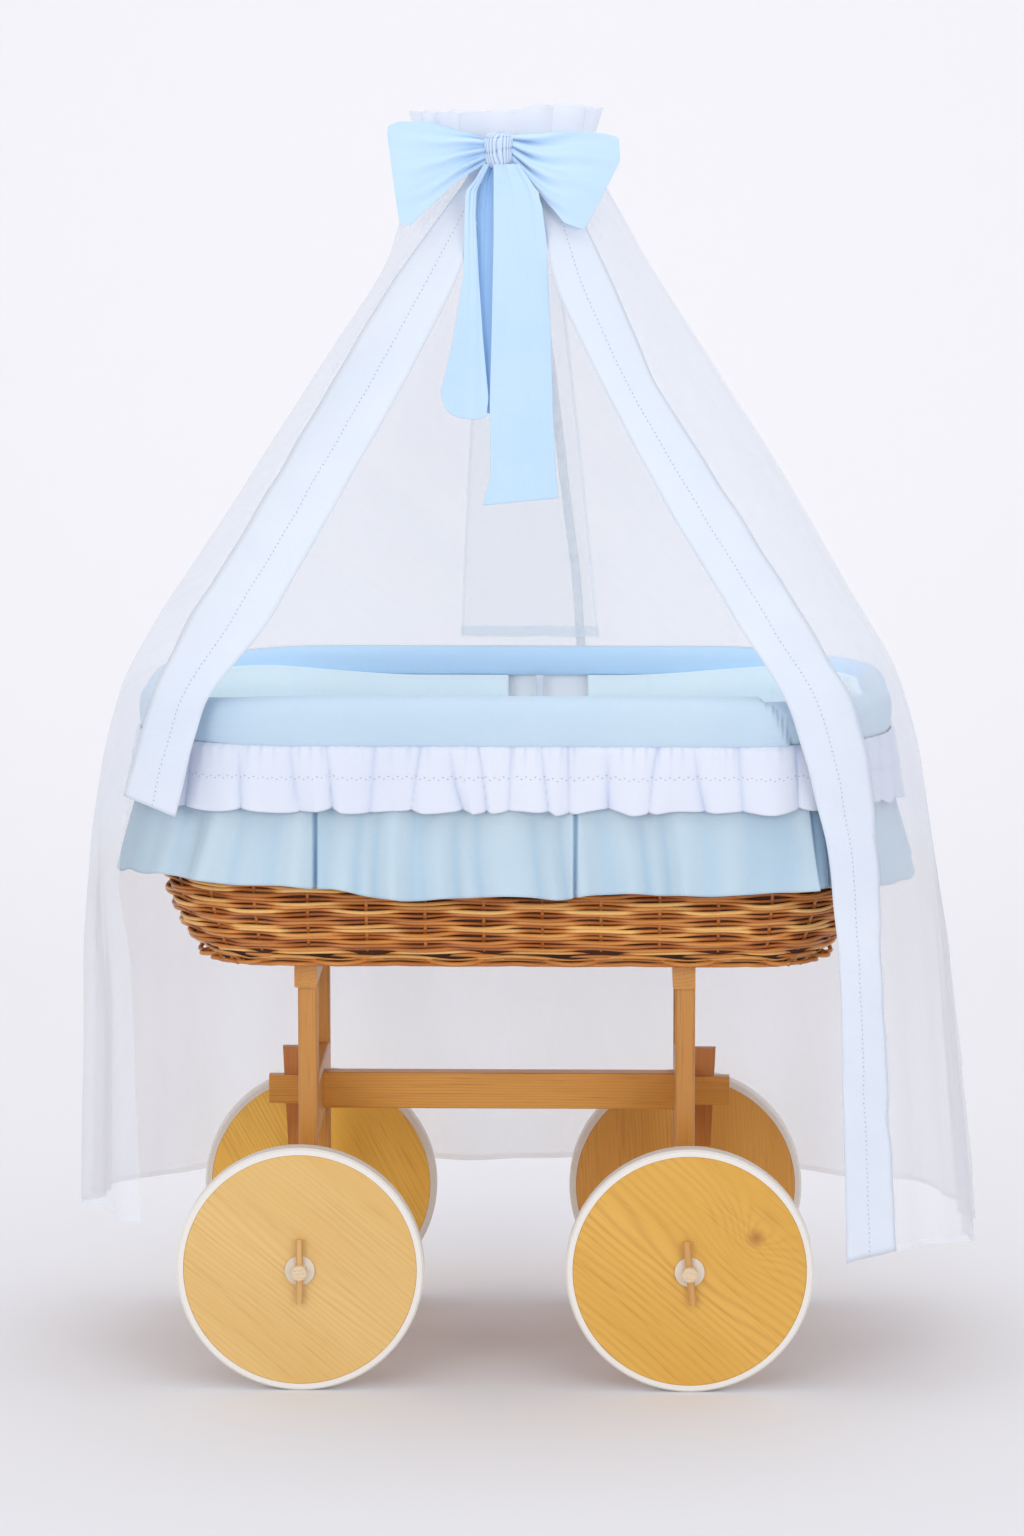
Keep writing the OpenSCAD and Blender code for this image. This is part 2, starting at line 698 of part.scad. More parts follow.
// A narrow second layer inside the canopy's back, in front of the pole
module back_panel() {
  low = PANEL[len(PANEL) - 1][0];
  function grid(dy) = [for (r = PANEL, k = [-1, 0, 1])
    [panel_x + k * r[1] + (low - r[0]) * panel_lean, r[2] + dy, r[0]]];
  color(voile, 0.6) thick_sheet(grid(0), grid(panel_t), 3);
}

// The frilled crown that stands up above the ring
module ruffle() {
  stations = [[ring_z + 5, 84, 44, ring_y, 2.0, ring_x], [ruffle_z, 96, 54, ring_y, 2.2, ring_x]];
  for (side = [-1, 1]) color("#eef1f8")
    canopy_part(stations, [-90, -90], [90, 90], 17, side);
}

// ---------- bow ----------

module bow_plate(outline, y, t) {
  translate([0, y, 0]) rotate([90, 0, 0]) linear_extrude(t) polygon(outline);
}

module bow_knot() {
  color("#e4edf8") translate([knot_x, knot_y, knot_z]) rotate([90, 0, 0])
    linear_extrude(knot_size[2]) round_rect(knot_size[0], knot_size[1], 9);
}

module bow_loop_left() { color("#cae5ff") bow_plate(LEFT_LOOP, loop_y, loop_t); }
module bow_loop_right() { color("#cae5ff") bow_plate(RIGHT_LOOP, loop_y, loop_t); }
module bow_tail_left() { color("#c9dff6") bow_plate(LEFT_TAIL, left_tail_y, tail_t); }
module bow_tail_right() { color("#d2e8ff") bow_plate(RIGHT_TAIL, right_tail_y, tail_t); }

wheel_front_left();
wheel_front_right();
wheel_rear_left();
wheel_rear_right();
tyre_front_left();
tyre_front_right();
tyre_rear_left();
tyre_rear_right();
axle_left();
axle_right();
cross_pins_left();
cross_pins_right();
outer_washers();
inner_spacers();
axle_block_left();
axle_block_right();
post_front_left();
post_front_right();
post_rear_left();
post_rear_right();
cross_rail_left();
cross_rail_right();
top_rail_left();
top_rail_right();
stretcher();
wedge_left();
wedge_right();
wicker_basket();
base_board();
base_screws();
mattress();
liner();
padded_nest();
nest_tie();
rim_cover();
frill();
skirt_front();
skirt_back();
skirt_left();
skirt_right();
pole_holder();
holder_screws();
canopy_pole();
canopy_ring();
canopy_left();
canopy_right();
canopy_back();
drape_left();
drape_right();
drape_back();
band_left();
band_right();
back_panel();
ruffle();
bow_knot();
bow_loop_left();
bow_loop_right();
bow_tail_left();
bow_tail_right();
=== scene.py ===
import math

import bpy
import numpy as np
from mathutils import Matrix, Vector


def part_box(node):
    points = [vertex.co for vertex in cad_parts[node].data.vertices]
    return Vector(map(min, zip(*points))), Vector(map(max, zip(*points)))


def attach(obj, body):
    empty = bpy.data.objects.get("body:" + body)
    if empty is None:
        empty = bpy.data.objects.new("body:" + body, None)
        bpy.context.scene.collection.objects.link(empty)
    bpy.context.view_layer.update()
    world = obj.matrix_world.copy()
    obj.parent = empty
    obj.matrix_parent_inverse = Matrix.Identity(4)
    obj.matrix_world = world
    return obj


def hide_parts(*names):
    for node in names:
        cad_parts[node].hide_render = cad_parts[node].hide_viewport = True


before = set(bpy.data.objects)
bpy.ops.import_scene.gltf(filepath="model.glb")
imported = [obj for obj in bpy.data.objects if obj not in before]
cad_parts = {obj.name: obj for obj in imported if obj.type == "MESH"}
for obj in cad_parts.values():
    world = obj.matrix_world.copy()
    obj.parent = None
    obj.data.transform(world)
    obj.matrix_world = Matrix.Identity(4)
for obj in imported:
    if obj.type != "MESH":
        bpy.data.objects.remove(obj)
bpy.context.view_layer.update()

RNG = np.random.default_rng(11)
TAU = 2 * math.pi


# ---------- sizes taken from the frame ----------

def box(node):
    low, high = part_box(node)
    return np.array(low), np.array(high)


def vertices(node):
    return np.array([v.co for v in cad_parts[node].data.vertices], float)


HALF_L, HALF_W = box("wicker_basket")[1][:2]
RIM_Z = box("wicker_basket")[1][2]
BASKET_Z = box("wicker_basket")[0][2]
STRAIGHT_X = box("skirt_front")[1][0]        # the rim's front is straight from -this to this
RIM_R = HALF_L - STRAIGHT_X
STRAIGHT_Y = HALF_W - RIM_R
COVER_LOW, COVER_TOP = box("rim_cover")[0][2], box("rim_cover")[1][2]
FRILL_LOW, FRILL_TOP = box("frill")[0][2], box("frill")[1][2]
SKIRT_TOP = box("skirt_front")[1][2]
HEM_Z = box("drape_right")[0][2]
QUARTER = RIM_R * math.pi / 2
RIM_LENGTHS = [STRAIGHT_X, QUARTER, 2 * STRAIGHT_Y, QUARTER, 2 * STRAIGHT_X, QUARTER, 2 * STRAIGHT_Y,
               QUARTER, STRAIGHT_X]
RIM_L = sum(RIM_LENGTHS)


def section(node):
    """The outer face of a node that runs round the rim: heights, and distances outside the rim."""
    co = vertices(node)
    co = co[(co[:, 1] < 0) & (abs(co[:, 0]) < STRAIGHT_X + 1e-4)]
    heights = np.unique(np.round(co[:, 2], 4))
    reach = [-co[abs(co[:, 2] - z) < 6e-5][:, 1].min() - HALF_W for z in heights]
    return heights, np.array(reach)


def outside(node, z):
    """How far outside the rim the node's outer face stands at a height."""
    return np.interp(z, *section(node))


def rim(s):
    """Points and outward directions round the rim in plan, s metres from the front's middle."""
    s = np.asarray(s, float) % RIM_L
    starts = np.concatenate([[0], np.cumsum(RIM_LENGTHS)])
    corners = [(1, -1, -90), (1, 1, 0), (-1, 1, 90), (-1, -1, 180)]
    point = np.zeros(s.shape + (2,))
    away = np.zeros(s.shape + (2,))
    sides = [
        (0, (0, -HALF_W), (1, 0)), (2, (HALF_L, -STRAIGHT_Y), (0, 1)),
        (4, (STRAIGHT_X, HALF_W), (-1, 0)), (6, (-HALF_L, STRAIGHT_Y), (0, -1)),
        (8, (-STRAIGHT_X, -HALF_W), (1, 0)),
    ]
    for piece, start, along in sides:
        here = (s >= starts[piece]) & (s <= starts[piece + 1])
        t = (s[here] - starts[piece])[:, None]
        point[here] = np.array(start) + t * np.array(along)
        away[here] = (along[1], -along[0])
    for k, (sx, sy, angle0) in enumerate(corners):
        piece = 2 * k + 1
        here = (s > starts[piece]) & (s < starts[piece + 1])
        angle = math.radians(angle0) + (s[here] - starts[piece]) / RIM_R
        direction = np.stack([np.cos(angle), np.sin(angle)], -1)
        point[here] = np.array([sx * STRAIGHT_X, sy * STRAIGHT_Y]) + RIM_R * direction
        away[here] = direction
    return point, away


def at_rim(point, away, out, z):
    """Points at a distance outside the rim and at a height, one for each point of the rim."""
    out, z = np.broadcast_to(out, len(point)), np.broadcast_to(z, len(point))
    return np.column_stack([point + out[:, None] * away, z])


def smooth(x, low=0.0, high=1.0):
    t = np.clip((np.asarray(x, float) - low) / (high - low), 0, 1)
    return t * t * (3 - 2 * t)


def blunt(value, power):
    """A signed power: below 1 it squares off a round outline."""
    return np.sign(value) * np.abs(value) ** power


def from_front(s):
    """Distance along the rim from the front's middle, negative on the left."""
    return (s + RIM_L / 2) % RIM_L - RIM_L / 2


def ripple(s, length, counts, seed):
    """A repeatable smooth random wave, about -1 to 1, that closes on itself over length."""
    rng = np.random.default_rng(seed)
    total = np.zeros(np.shape(s))
    for count in counts:
        size = rng.uniform(0.5, 1)
        total = total + size * np.sin(TAU * (count * np.asarray(s) / length + rng.uniform()))
    return total / math.sqrt(len(counts))


# ---------- meshes ----------

def grid_faces(rows, cols, wrap=False, start=0):
    i, j = np.meshgrid(np.arange(rows - 1), np.arange(cols if wrap else cols - 1), indexing="ij")
    k = (j + 1) % cols
    quads = np.stack([i * cols + j, i * cols + k, (i + 1) * cols + k, (i + 1) * cols + j], -1)
    return quads.reshape(-1, 4) + start


def piece(name, verts, faces, material, slot, uv=None):
    mesh = bpy.data.meshes.new(name)
    faces = [[int(k) for k in face] for face in faces]
    mesh.from_pydata(np.asarray(verts, float).reshape(-1, 3).tolist(), [], faces)
    mesh.polygons.foreach_set("use_smooth", np.ones(len(mesh.polygons), bool))
    if uv is not None:
        layer = mesh.uv_layers.new(name="cut")
        index = np.zeros(len(mesh.loops), np.int32)
        mesh.loops.foreach_get("vertex_index", index)
        layer.data.foreach_set("uv", np.asarray(uv, np.float32).reshape(-1, 2)[index].ravel())
    mesh.update()
    obj = bpy.data.objects.new(name, mesh)
    bpy.context.scene.collection.objects.link(obj)
    mesh.materials.append(material)
    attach(obj, "frame")
    return obj


def mark(obj, name, values):
    """A number at each point of a piece, which its material reads."""
    layer = obj.data.attributes.new(name, "FLOAT", "POINT")
    layer.data.foreach_set("value", np.asarray(values, np.float32).ravel())


def paint_shading(obj, amount):
    """How far into a fold each point lies, 0 to 1, for painted shade that the cloth's material blends into
    its colour; on the rim cover the same mark paints light.
    """
    mark(obj, "painted_shading", np.clip(amount, 0, 1))


def cloth_grid(name, points, material, slot, uv=None, wrap=False, thick=0.0, painted_shading=None):
    rows, cols = points.shape[:2]
    obj = piece(name, points, grid_faces(rows, cols, wrap), material, slot, uv)
    if painted_shading is not None:
        paint_shading(obj, painted_shading)
    if thick:
        solid = obj.modifiers.new("cloth_thickness", "SOLIDIFY")
        solid.thickness = thick
        solid.offset = 0
    return obj


def lengths(points):
    """Metres along each row of a grid of points, for a cloth's own coordinates."""
    steps = np.linalg.norm(np.diff(points, axis=1), axis=2)
    return np.concatenate([np.zeros((len(points), 1)), np.cumsum(steps, 1)], 1)


class Rods:
    """Many round rods gathered into one mesh."""

    def __init__(self, sides=6):
        self.sides, self.verts, self.faces, self.tones, self.count = sides, [], [], [], 0

    def add(self, path, radius, closed=False, tone=0.5, side=None):
        path = np.asarray(path, float)
        ahead = np.roll(path, -1, 0) - np.roll(path, 1, 0)
        if not closed:
            ahead[0], ahead[-1] = path[1] - path[0], path[-1] - path[-2]
        ahead /= np.linalg.norm(ahead, axis=1)[:, None]
        up = np.array([0, 0, 1.0]) if side is None else np.asarray(side, float)
        across = np.cross(ahead, up)
        across /= np.linalg.norm(across, axis=1)[:, None]
        up = np.cross(across, ahead)
        angle = TAU * np.arange(self.sides) / self.sides
        radius = np.broadcast_to(radius, len(path))[:, None, None]
        angle = angle[None, :, None]
        ring = np.cos(angle) * across[:, None] + np.sin(angle) * up[:, None]
        n = len(path)
        self.verts.append((path[:, None] + radius * ring).reshape(-1, 3))
        quads = grid_faces(n, self.sides, True, self.count)
        self.faces.extend(quads.tolist())
        if closed:
            last = self.count + (n - 1) * self.sides
            for k in range(self.sides):
                k2 = (k + 1) % self.sides
                self.faces.append([last + k, last + k2, self.count + k2, self.count + k])
        else:
            self.faces.append([self.count + k for k in range(self.sides)][::-1])
            self.faces.append([self.count + (n - 1) * self.sides + k for k in range(self.sides)])
        self.tones.append(np.repeat(np.broadcast_to(tone, n), self.sides))
        self.count += n * self.sides

    def piece(self, name, material, slot):
        made = piece(name, np.concatenate(self.verts), self.faces, material, slot)
        mark(made, "tone", np.concatenate(self.tones))
        return made


# ---------- materials ----------

def linear(red, green, blue):
    """An sRGB colour, 0 to 255, as the linear colour that shaders use."""
    c = np.array([red, green, blue]) / 255
    return tuple(np.where(c <= 0.04045, c / 12.92, ((c + 0.055) / 1.055) ** 2.4)) + (1.0,)


class Shader:
    """A node material under construction."""

    def __init__(self, name, **sockets):
        self.material = bpy.data.materials.new(name)
        self.material.use_nodes = True
        self.tree = self.material.node_tree
        self.bsdf = self.tree.nodes["Principled BSDF"]
        for socket, value in sockets.items():
            self.bsdf.inputs[socket.replace("_", " ")].default_value = value

    def node(self, kind, inputs=(), **settings):
        made = self.tree.nodes.new(kind)
        for key, value in settings.items():
            setattr(made, key, value)
        for key, value in dict(inputs).items():
            if isinstance(value, bpy.types.NodeSocket):
                self.tree.links.new(value, made.inputs[key])
            else:
                made.inputs[key].default_value = value
        return made

    def place(self, scale=(1, 1, 1), turn=(0, 0, 0), origin=(0, 0, 0)):
        """Object coordinates about an origin, turned and then scaled."""
        coords = self.node("ShaderNodeTexCoord").outputs["Object"]
        moved = self.vector("SUBTRACT", coords, origin)
        turned = self.node("ShaderNodeVectorRotate", {"Vector": moved, "Rotation": turn},
                           rotation_type="EULER_XYZ").outputs[0]
        return self.vector("MULTIPLY", turned, scale)

    def vector(self, operation, a, b):
        return self.node("ShaderNodeVectorMath", {0: a, 1: b}, operation=operation).outputs[0]

    def attribute(self, name):
        return self.node("ShaderNodeAttribute", attribute_name=name).outputs["Fac"]

    def noise(self, vector, scale=1.0, detail=3.0, roughness=0.5):
        inputs = {"Vector": vector, "Scale": scale, "Detail": detail, "Roughness": roughness}
        return self.node("ShaderNodeTexNoise", inputs).outputs["Fac"]

    def math(self, operation, a, b=0.0, clamp=False):
        return self.node("ShaderNodeMath", {0: a, 1: b}, operation=operation, use_clamp=clamp).outputs[0]

    def scale_and_add(self, value, scale, offset):
        inputs = {0: value, 1: scale, 2: offset}
        return self.node("ShaderNodeMath", inputs, operation="MULTIPLY_ADD").outputs[0]

    def ramp(self, factor, stops):
        made = self.node("ShaderNodeValToRGB", {"Fac": factor})
        elements = made.color_ramp.elements
        while len(elements) < len(stops):
            elements.new(0.5)
        for element, (place, colour) in zip(elements, stops):
            element.position = place
            element.color = colour
        return made.outputs["Color"]

    def blend(self, factor, a, b, kind="MIX"):
        made = self.node("ShaderNodeMix", data_type="RGBA", blend_type=kind)
        for index, value in ((0, factor), (6, a), (7, b)):
            if isinstance(value, bpy.types.NodeSocket):
                self.tree.links.new(value, made.inputs[index])
            else:
                made.inputs[index].default_value = value
        return made.outputs[2]

    def bump(self, height, strength, distance, normal=None):
        inputs = {"Height": height, "Strength": strength, "Distance": distance}
        if normal is not None:
            inputs["Normal"] = normal
        return self.node("ShaderNodeBump", inputs).outputs["Normal"]

    def set(self, **sockets):
        for socket, value in sockets.items():
            self.tree.links.new(value, self.bsdf.inputs[socket.replace("_", " ")])
        return self.material


def wood_material(name, dark, mid, light, turn=(0, 0, 0), origin=(0, 0, 0), grain=1.0, knot=None,
                  figure=0.28):
    """Varnished board: long grain along the turned X axis, growth bands across it."""
    dark, mid, light = linear(*dark), linear(*mid), linear(*light)
    s = Shader(name, Roughness=0.42, Coat_Weight=0.25, Coat_Roughness=0.3)
    long = s.place((1.6, 9, 9), turn, origin)
    warp = s.noise(long, 1.2, 2)
    across = s.node("ShaderNodeSeparateXYZ", {0: s.place((1, 1, 1), turn, origin)}).outputs
    bands = s.math("ADD", s.math("MULTIPLY", across[2], 190 * grain), s.math("MULTIPLY", warp, 9))
    if knot is not None:
        gap = s.node("ShaderNodeVectorMath", {0: s.place(), 1: knot}, operation="DISTANCE").outputs["Value"]
        near = s.math("POWER", 2.718, s.math("MULTIPLY", gap, -34))
        bands = s.math("ADD", bands, s.math("MULTIPLY", near, 7))
    wave = s.math("SINE", s.math("MULTIPLY", bands, TAU))
    ring = s.math("POWER", s.scale_and_add(wave, 0.5, 0.5), 2.2)
    fine = s.noise(s.place((14, 420, 420), turn, origin), 1, 4, 0.65)
    broad = s.noise(s.place((2, 14, 14), turn, origin), 1, 3)
    colour = s.ramp(broad, [(0.32, mid), (0.68, light)])
    patchy = s.math("MULTIPLY", s.math("SUBTRACT", broad, 0.30, True), 2.6 * figure)
    colour = s.blend(s.math("MULTIPLY", ring, patchy), colour, dark)
    pores = s.math("MULTIPLY", s.math("SUBTRACT", fine, 0.53, True), 2.4)
    colour = s.blend(pores, colour, dark)
    if knot is not None:
        core = s.math("MULTIPLY", s.math("SUBTRACT", near, 0.66, True), 2.6)
        colour = s.blend(core, colour, linear(168, 98, 34))
    height = s.math("ADD", s.math("MULTIPLY", ring, 0.4), fine)
    return s.set(Base_Color=colour, Normal=s.bump(height, 0.12, 0.0006))


WEAVE = 2600                     # how fine the cotton's threads are
HEM_WIDTH = 0.02                 # of sheer cloth, in metres


def cloth_material(name, colour, shade, wrinkle=0.25, sheen=0.25, painted_shading=None):
    """Woven cotton: a fine plain weave, a slow drift of tone, and a painted shading colour blended in where
    a piece is marked: painted shade inside folds, painted light on the cover's inside.
    """
    s = Shader(name, Roughness=0.85, Sheen_Weight=sheen, Sheen_Roughness=0.5, Specular_IOR_Level=0.25)
    spot = s.place()
    parts = s.node("ShaderNodeSeparateXYZ", {0: s.place((WEAVE, WEAVE, WEAVE))}).outputs
    warp = s.math("SINE", s.math("ADD", parts[0], parts[1]))
    weft = s.math("SINE", parts[2])
    threads = s.math("MULTIPLY", warp, weft)
    slub = s.noise(s.place((60, 60, 520)), 1, 3, 0.6)
    drift = s.noise(spot, 7, 3)
    tone = s.ramp(drift, [(0.3, linear(*shade)), (0.7, linear(*colour))])
    tone = s.blend(s.math("MULTIPLY", slub, 0.12), tone, (1, 1, 1, 1), "SOFT_LIGHT")
    # Painted shading: the piece's mark blends in a darker colour as painted shade, and on the rim cover a
    # lighter one as painted light.
    if painted_shading is not None:
        tone = s.blend(s.attribute("painted_shading"), tone, linear(*painted_shading))
    soft = s.bump(s.noise(spot, 26, 4, 0.55), wrinkle, 0.004)
    return s.set(Base_Color=tone, Normal=s.bump(threads, 0.12, 0.0003, soft))


def sheer_material(name, colour, alpha, hem_alpha, hem=HEM_WIDTH):
    """Voile: see-through, denser in the hem along its lower edge and where its threads bunch."""
    s = Shader(name, Roughness=0.9, Sheen_Weight=0.3, Specular_IOR_Level=0.1)
    s.bsdf.inputs["Base Color"].default_value = linear(*colour)
    uv = s.node("ShaderNodeUVMap", uv_map="cut").outputs[0]
    v = s.node("ShaderNodeSeparateXYZ", {0: uv}).outputs[1]
    in_hem = s.math("LESS_THAN", v, hem)
    bunch = s.noise(s.vector("MULTIPLY", uv, (11, 1.2, 1)), 1, 4)
    dense = s.scale_and_add(bunch, 0.16, alpha - 0.08)
    dense = s.math("ADD", dense, s.math("MULTIPLY", in_hem, hem_alpha - alpha), True)
    return s.set(Alpha=dense)


def plain_material(name, colour, roughness, metallic=0.0, coat=0.0, scale=90.0):
    """Painted, moulded or plated surface with a faint mottle."""
    s = Shader(name, Roughness=roughness, Metallic=metallic, Coat_Weight=coat)
    mottle = s.noise(s.place(), scale, 4)
    light = linear(*colour)
    dark = tuple(c * 0.88 for c in light[:3]) + (1,)
    tone = s.ramp(mottle, [(0.3, dark), (0.7, light)])
    return s.set(Base_Color=tone, Normal=s.bump(mottle, 0.06, 0.0004))


def wicker_material():
    s = Shader("willow", Roughness=0.38, Coat_Weight=0.3, Coat_Roughness=0.25)
    streak = s.noise(s.place((22, 22, 260)), 1, 4, 0.6)
    # The rods' tone mark holds their own random tone, with painted shade where they pass behind the stakes.
    tone = s.math("MULTIPLY", s.attribute("tone"), 0.62)
    mixed = s.math("ADD", tone, s.math("MULTIPLY", streak, 0.5), True)
    colour = s.ramp(mixed, [
        (0.12, linear(104, 48, 14)), (0.36, linear(172, 94, 32)), (0.60, linear(210, 134, 56)),
        (0.90, linear(246, 194, 114)),
    ])
    return s.set(Base_Color=colour, Normal=s.bump(streak, 0.2, 0.0006))


STAND_WOOD = (146, 84, 28), (196, 132, 54), (212, 152, 76)        # dark, middle and light
ALONG_Y, ALONG_Z = (0, 0, math.radians(90)), (0, math.radians(90), 0)
STAND_GRAIN = 1.6                # how fine the stand's growth bands are

MAT = {
    "stand_z": wood_material("stand_wood_upright", *STAND_WOOD, ALONG_Z, grain=STAND_GRAIN),
    "stand_y": wood_material("stand_wood_cross", *STAND_WOOD, ALONG_Y, grain=STAND_GRAIN),
    "stand_x": wood_material("stand_wood_stretcher", (150, 86, 26), (206, 138, 46), (220, 156, 62),
                             grain=STAND_GRAIN),
    "wedge": wood_material("wedge_wood", (120, 62, 18), (176, 104, 38), (192, 122, 52), ALONG_Z),
    "axle": wood_material("axle_wood", (190, 156, 112), (216, 188, 150), (226, 202, 168), ALONG_Y),
    "pin": wood_material("pin_wood", (150, 98, 44), (204, 150, 82), (220, 174, 108), ALONG_Z),
    "plywood": wood_material("plywood", (180, 140, 90), (210, 176, 126), (222, 192, 148)),
    "tyre": plain_material("tyre_rubber", (240, 235, 228), 0.62, scale=900),
    "washer": plain_material("washer_plastic", (232, 218, 200), 0.45),
    "steel": plain_material("screw_steel", (190, 192, 196), 0.35, 1.0),
    "pole": plain_material("pole_paint", (250, 250, 252), 0.35, coat=0.4),
    "willow": wicker_material(),
    # A dark sheet behind the weave that stands for the shade in its gaps: painted shade.
    "core": plain_material("willow_shadow", (66, 32, 12), 0.9),
    # The third colour of the skirt, cover, bow, frill and lace is painted shading: painted shade in the
    # skirt's pleats and folds, the bow's creases by the knot, the frill's valleys and between the lace's
    # ribs; painted light on the cover's inside at the back.
    "skirt": cloth_material("skirt_cotton", (192, 211, 223), (184, 205, 219), painted_shading=(138, 180, 212)),
    "cover": cloth_material("cover_cotton", (195, 215, 231), (187, 210, 229), painted_shading=(194, 225, 252)),
    # The nest's colour is partly the cloth's own pale blue and partly painted light, raised to make up for
    # the shade inside the basket.
    "nest": cloth_material("nest_cotton", (230, 248, 255), (226, 245, 255)),
    "bow": cloth_material("bow_cotton", (200, 227, 250), (192, 221, 248), sheen=0.4,
                          painted_shading=(112, 158, 208)),
    # A darker copy of the bow's cotton for the inside of the left tail's fold: painted shade.
    "bow_shade_copy": cloth_material("bow_shade_copy_cotton", (160, 198, 240), (150, 190, 234)),
    "frill": cloth_material("frill_cotton", (224, 228, 240), (216, 222, 236), painted_shading=(178, 193, 224)),
    "band": cloth_material("band_cotton", (223, 229, 240), (215, 224, 238)),
    "white": cloth_material("white_cotton", (250, 252, 255), (244, 247, 254)),
    "lace": cloth_material("lace", (214, 228, 244), (200, 218, 240), wrinkle=0.8, painted_shading=(126, 158, 200)),
    "stitch": plain_material("stitch_thread", (176, 182, 198), 0.8),
    "voile": sheer_material("voile", (234, 238, 248), 0.32, 0.46, 0.006),
    "inner_voile": sheer_material("inner_voile", (236, 240, 248), 0.18, 0.6, 0.012),
    "panel_hem": sheer_material("panel_hem_voile", (252, 253, 255), 0.45, 0.45),
    "ruffle": sheer_material("ruffle_voile", (236, 240, 250), 0.72, 0.72),
}


def finish_node(node, material):
    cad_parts[node].data.materials.clear()
    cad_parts[node].data.materials.append(material)


# Dark, middle and light colour, the grain's angle in degrees and its fineness, and a knot's X and Z
WHEEL_LOOK = {
    "front_left": ((198, 146, 72), (222, 178, 104), (230, 192, 122), 40, 0.9, None),
    "front_right": ((184, 120, 38), (218, 163, 62), (228, 178, 80), 42, 0.55, (0.245, 0.160)),
    # The rear left wheel's colours are partly its own wood's tone and partly painted light, raised to
    # offset the shade it stands in.
    "rear_left": ((184, 120, 34), (250, 192, 76), (253, 204, 92), 62, 1.3, None),
    "rear_right": ((168, 102, 30), (220, 156, 64), (230, 170, 78), 88, 1.3, None),
}
for corner, (dark, mid, light, angle, grain, knot) in WHEEL_LOOK.items():
    node = "wheel_" + corner
    low, high = box(node)
    if knot:
        knot = (knot[0], low[1], knot[1])
    turn, middle = (0, -math.radians(angle), 0), tuple((low + high) / 2)
    figure = 0.42 if knot else 0.3
    finish_node(node, wood_material(node + "_wood", dark, mid, light, turn, middle, grain, knot, figure))
    finish_node("tyre_" + corner, MAT["tyre"])
for side in ("left", "right"):
    for end in ("front", "rear"):
        finish_node(f"post_{end}_{side}", MAT["stand_z"])
    for node in ("cross_rail_", "top_rail_", "axle_block_"):
        finish_node(node + side, MAT["stand_y"])
    finish_node("wedge_" + side, MAT["wedge"])
    finish_node("axle_" + side, MAT["axle"])
    finish_node("cross_pins_" + side, MAT["pin"])
finish_node("stretcher", MAT["stand_x"])
for node, look in {"outer_washers": "washer", "inner_spacers": "washer", "base_board": "plywood",
                   "base_screws": "steel", "holder_screws": "steel", "pole_holder": "pole",
                   "canopy_pole": "pole", "canopy_ring": "pole"}.items():
    finish_node(node, MAT[look])


# ---------- wicker ----------

STAKES = 36
ROW_PITCH = 0.0084
BORDER = 0.012                   # height of the wavy border at the basket's foot


def wicker():
    """Weavers in pairs pass in front of and behind the stakes, the other way about in the next row."""
    rods = Rods()
    heights, out = section("wicker_basket")
    s = np.linspace(0, RIM_L, STAKES * 8, endpoint=False)
    point, away = rim(s)
    stake_phase = math.pi * s / (RIM_L / STAKES)
    for k in range(STAKES):
        at, direction = rim(np.array([(k + 0.5) * RIM_L / STAKES]))
        z = np.linspace(BASKET_Z + 0.004, RIM_Z - 0.004, 24)
        wall = np.interp(z, heights, out) - 0.0066
        path = np.column_stack([at + wall[:, None] * direction, z])
        rods.add(path, 0.0020, tone=RNG.uniform(0.2, 0.45), side=(*direction[0], 0))
    rows = int((RIM_Z - BASKET_Z - BORDER) / ROW_PITCH)
    for row in range(rows):
        for half in (-1, 1):
            seed = 100 + 2 * row + half
            z = BASKET_Z + BORDER + (row + 0.25 * half) * ROW_PITCH
            sway = np.cos(stake_phase + math.pi * (row % 2) + math.pi / 2 + 0.15 * half)
            z = z + 0.0010 * ripple(s, RIM_L, (9, 17, 31), seed) - 0.0008 * half * sway
            # Rods get darker where they pass behind the stakes: painted shade; the random spread and the
            # ripple of tone are the willow's own.
            front = smooth(sway, -0.7, 0.3)
            wall = np.interp(z, heights, out) - 0.0042 + 0.0034 * blunt(sway, 0.8)
            radius = 0.00212 + 0.00018 * ripple(s, RIM_L, (5, 13), seed + 7)
            tone = RNG.uniform(0.34, 1.08) * (0.38 + 0.62 * front)
            tone = tone + 0.12 * ripple(s, RIM_L, (3, 7), seed + 9)
            rods.add(at_rim(point, away, wall, z), radius, closed=True, tone=tone)
    for strand in range(3):
        turn = stake_phase + math.pi * (strand % 2)
        z = BASKET_Z + 0.0045 + 0.0034 * strand + 0.0018 * np.cos(stake_phase)
        wall = np.interp(z, heights, out) + 0.0014 * np.cos(turn)
        rods.add(at_rim(point, away, wall, z), 0.0023, closed=True, tone=0.4 + 0.15 * strand)
    weave = rods.piece("wicker_weave", MAT["willow"], "wicker")
    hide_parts("wicker_basket")

    # A dark sheet just inside the weave, seen through its gaps: painted shade.
    levels = np.linspace(BASKET_Z + 0.004, RIM_Z - 0.002, 16)
    shell = [at_rim(point, away, np.interp(z, heights, out) - 0.0075, z) for z in levels]
    cloth_grid("wicker_shadow_sheet", np.array(shell), MAT["core"], "wicker", wrap=True, thick=0.001)


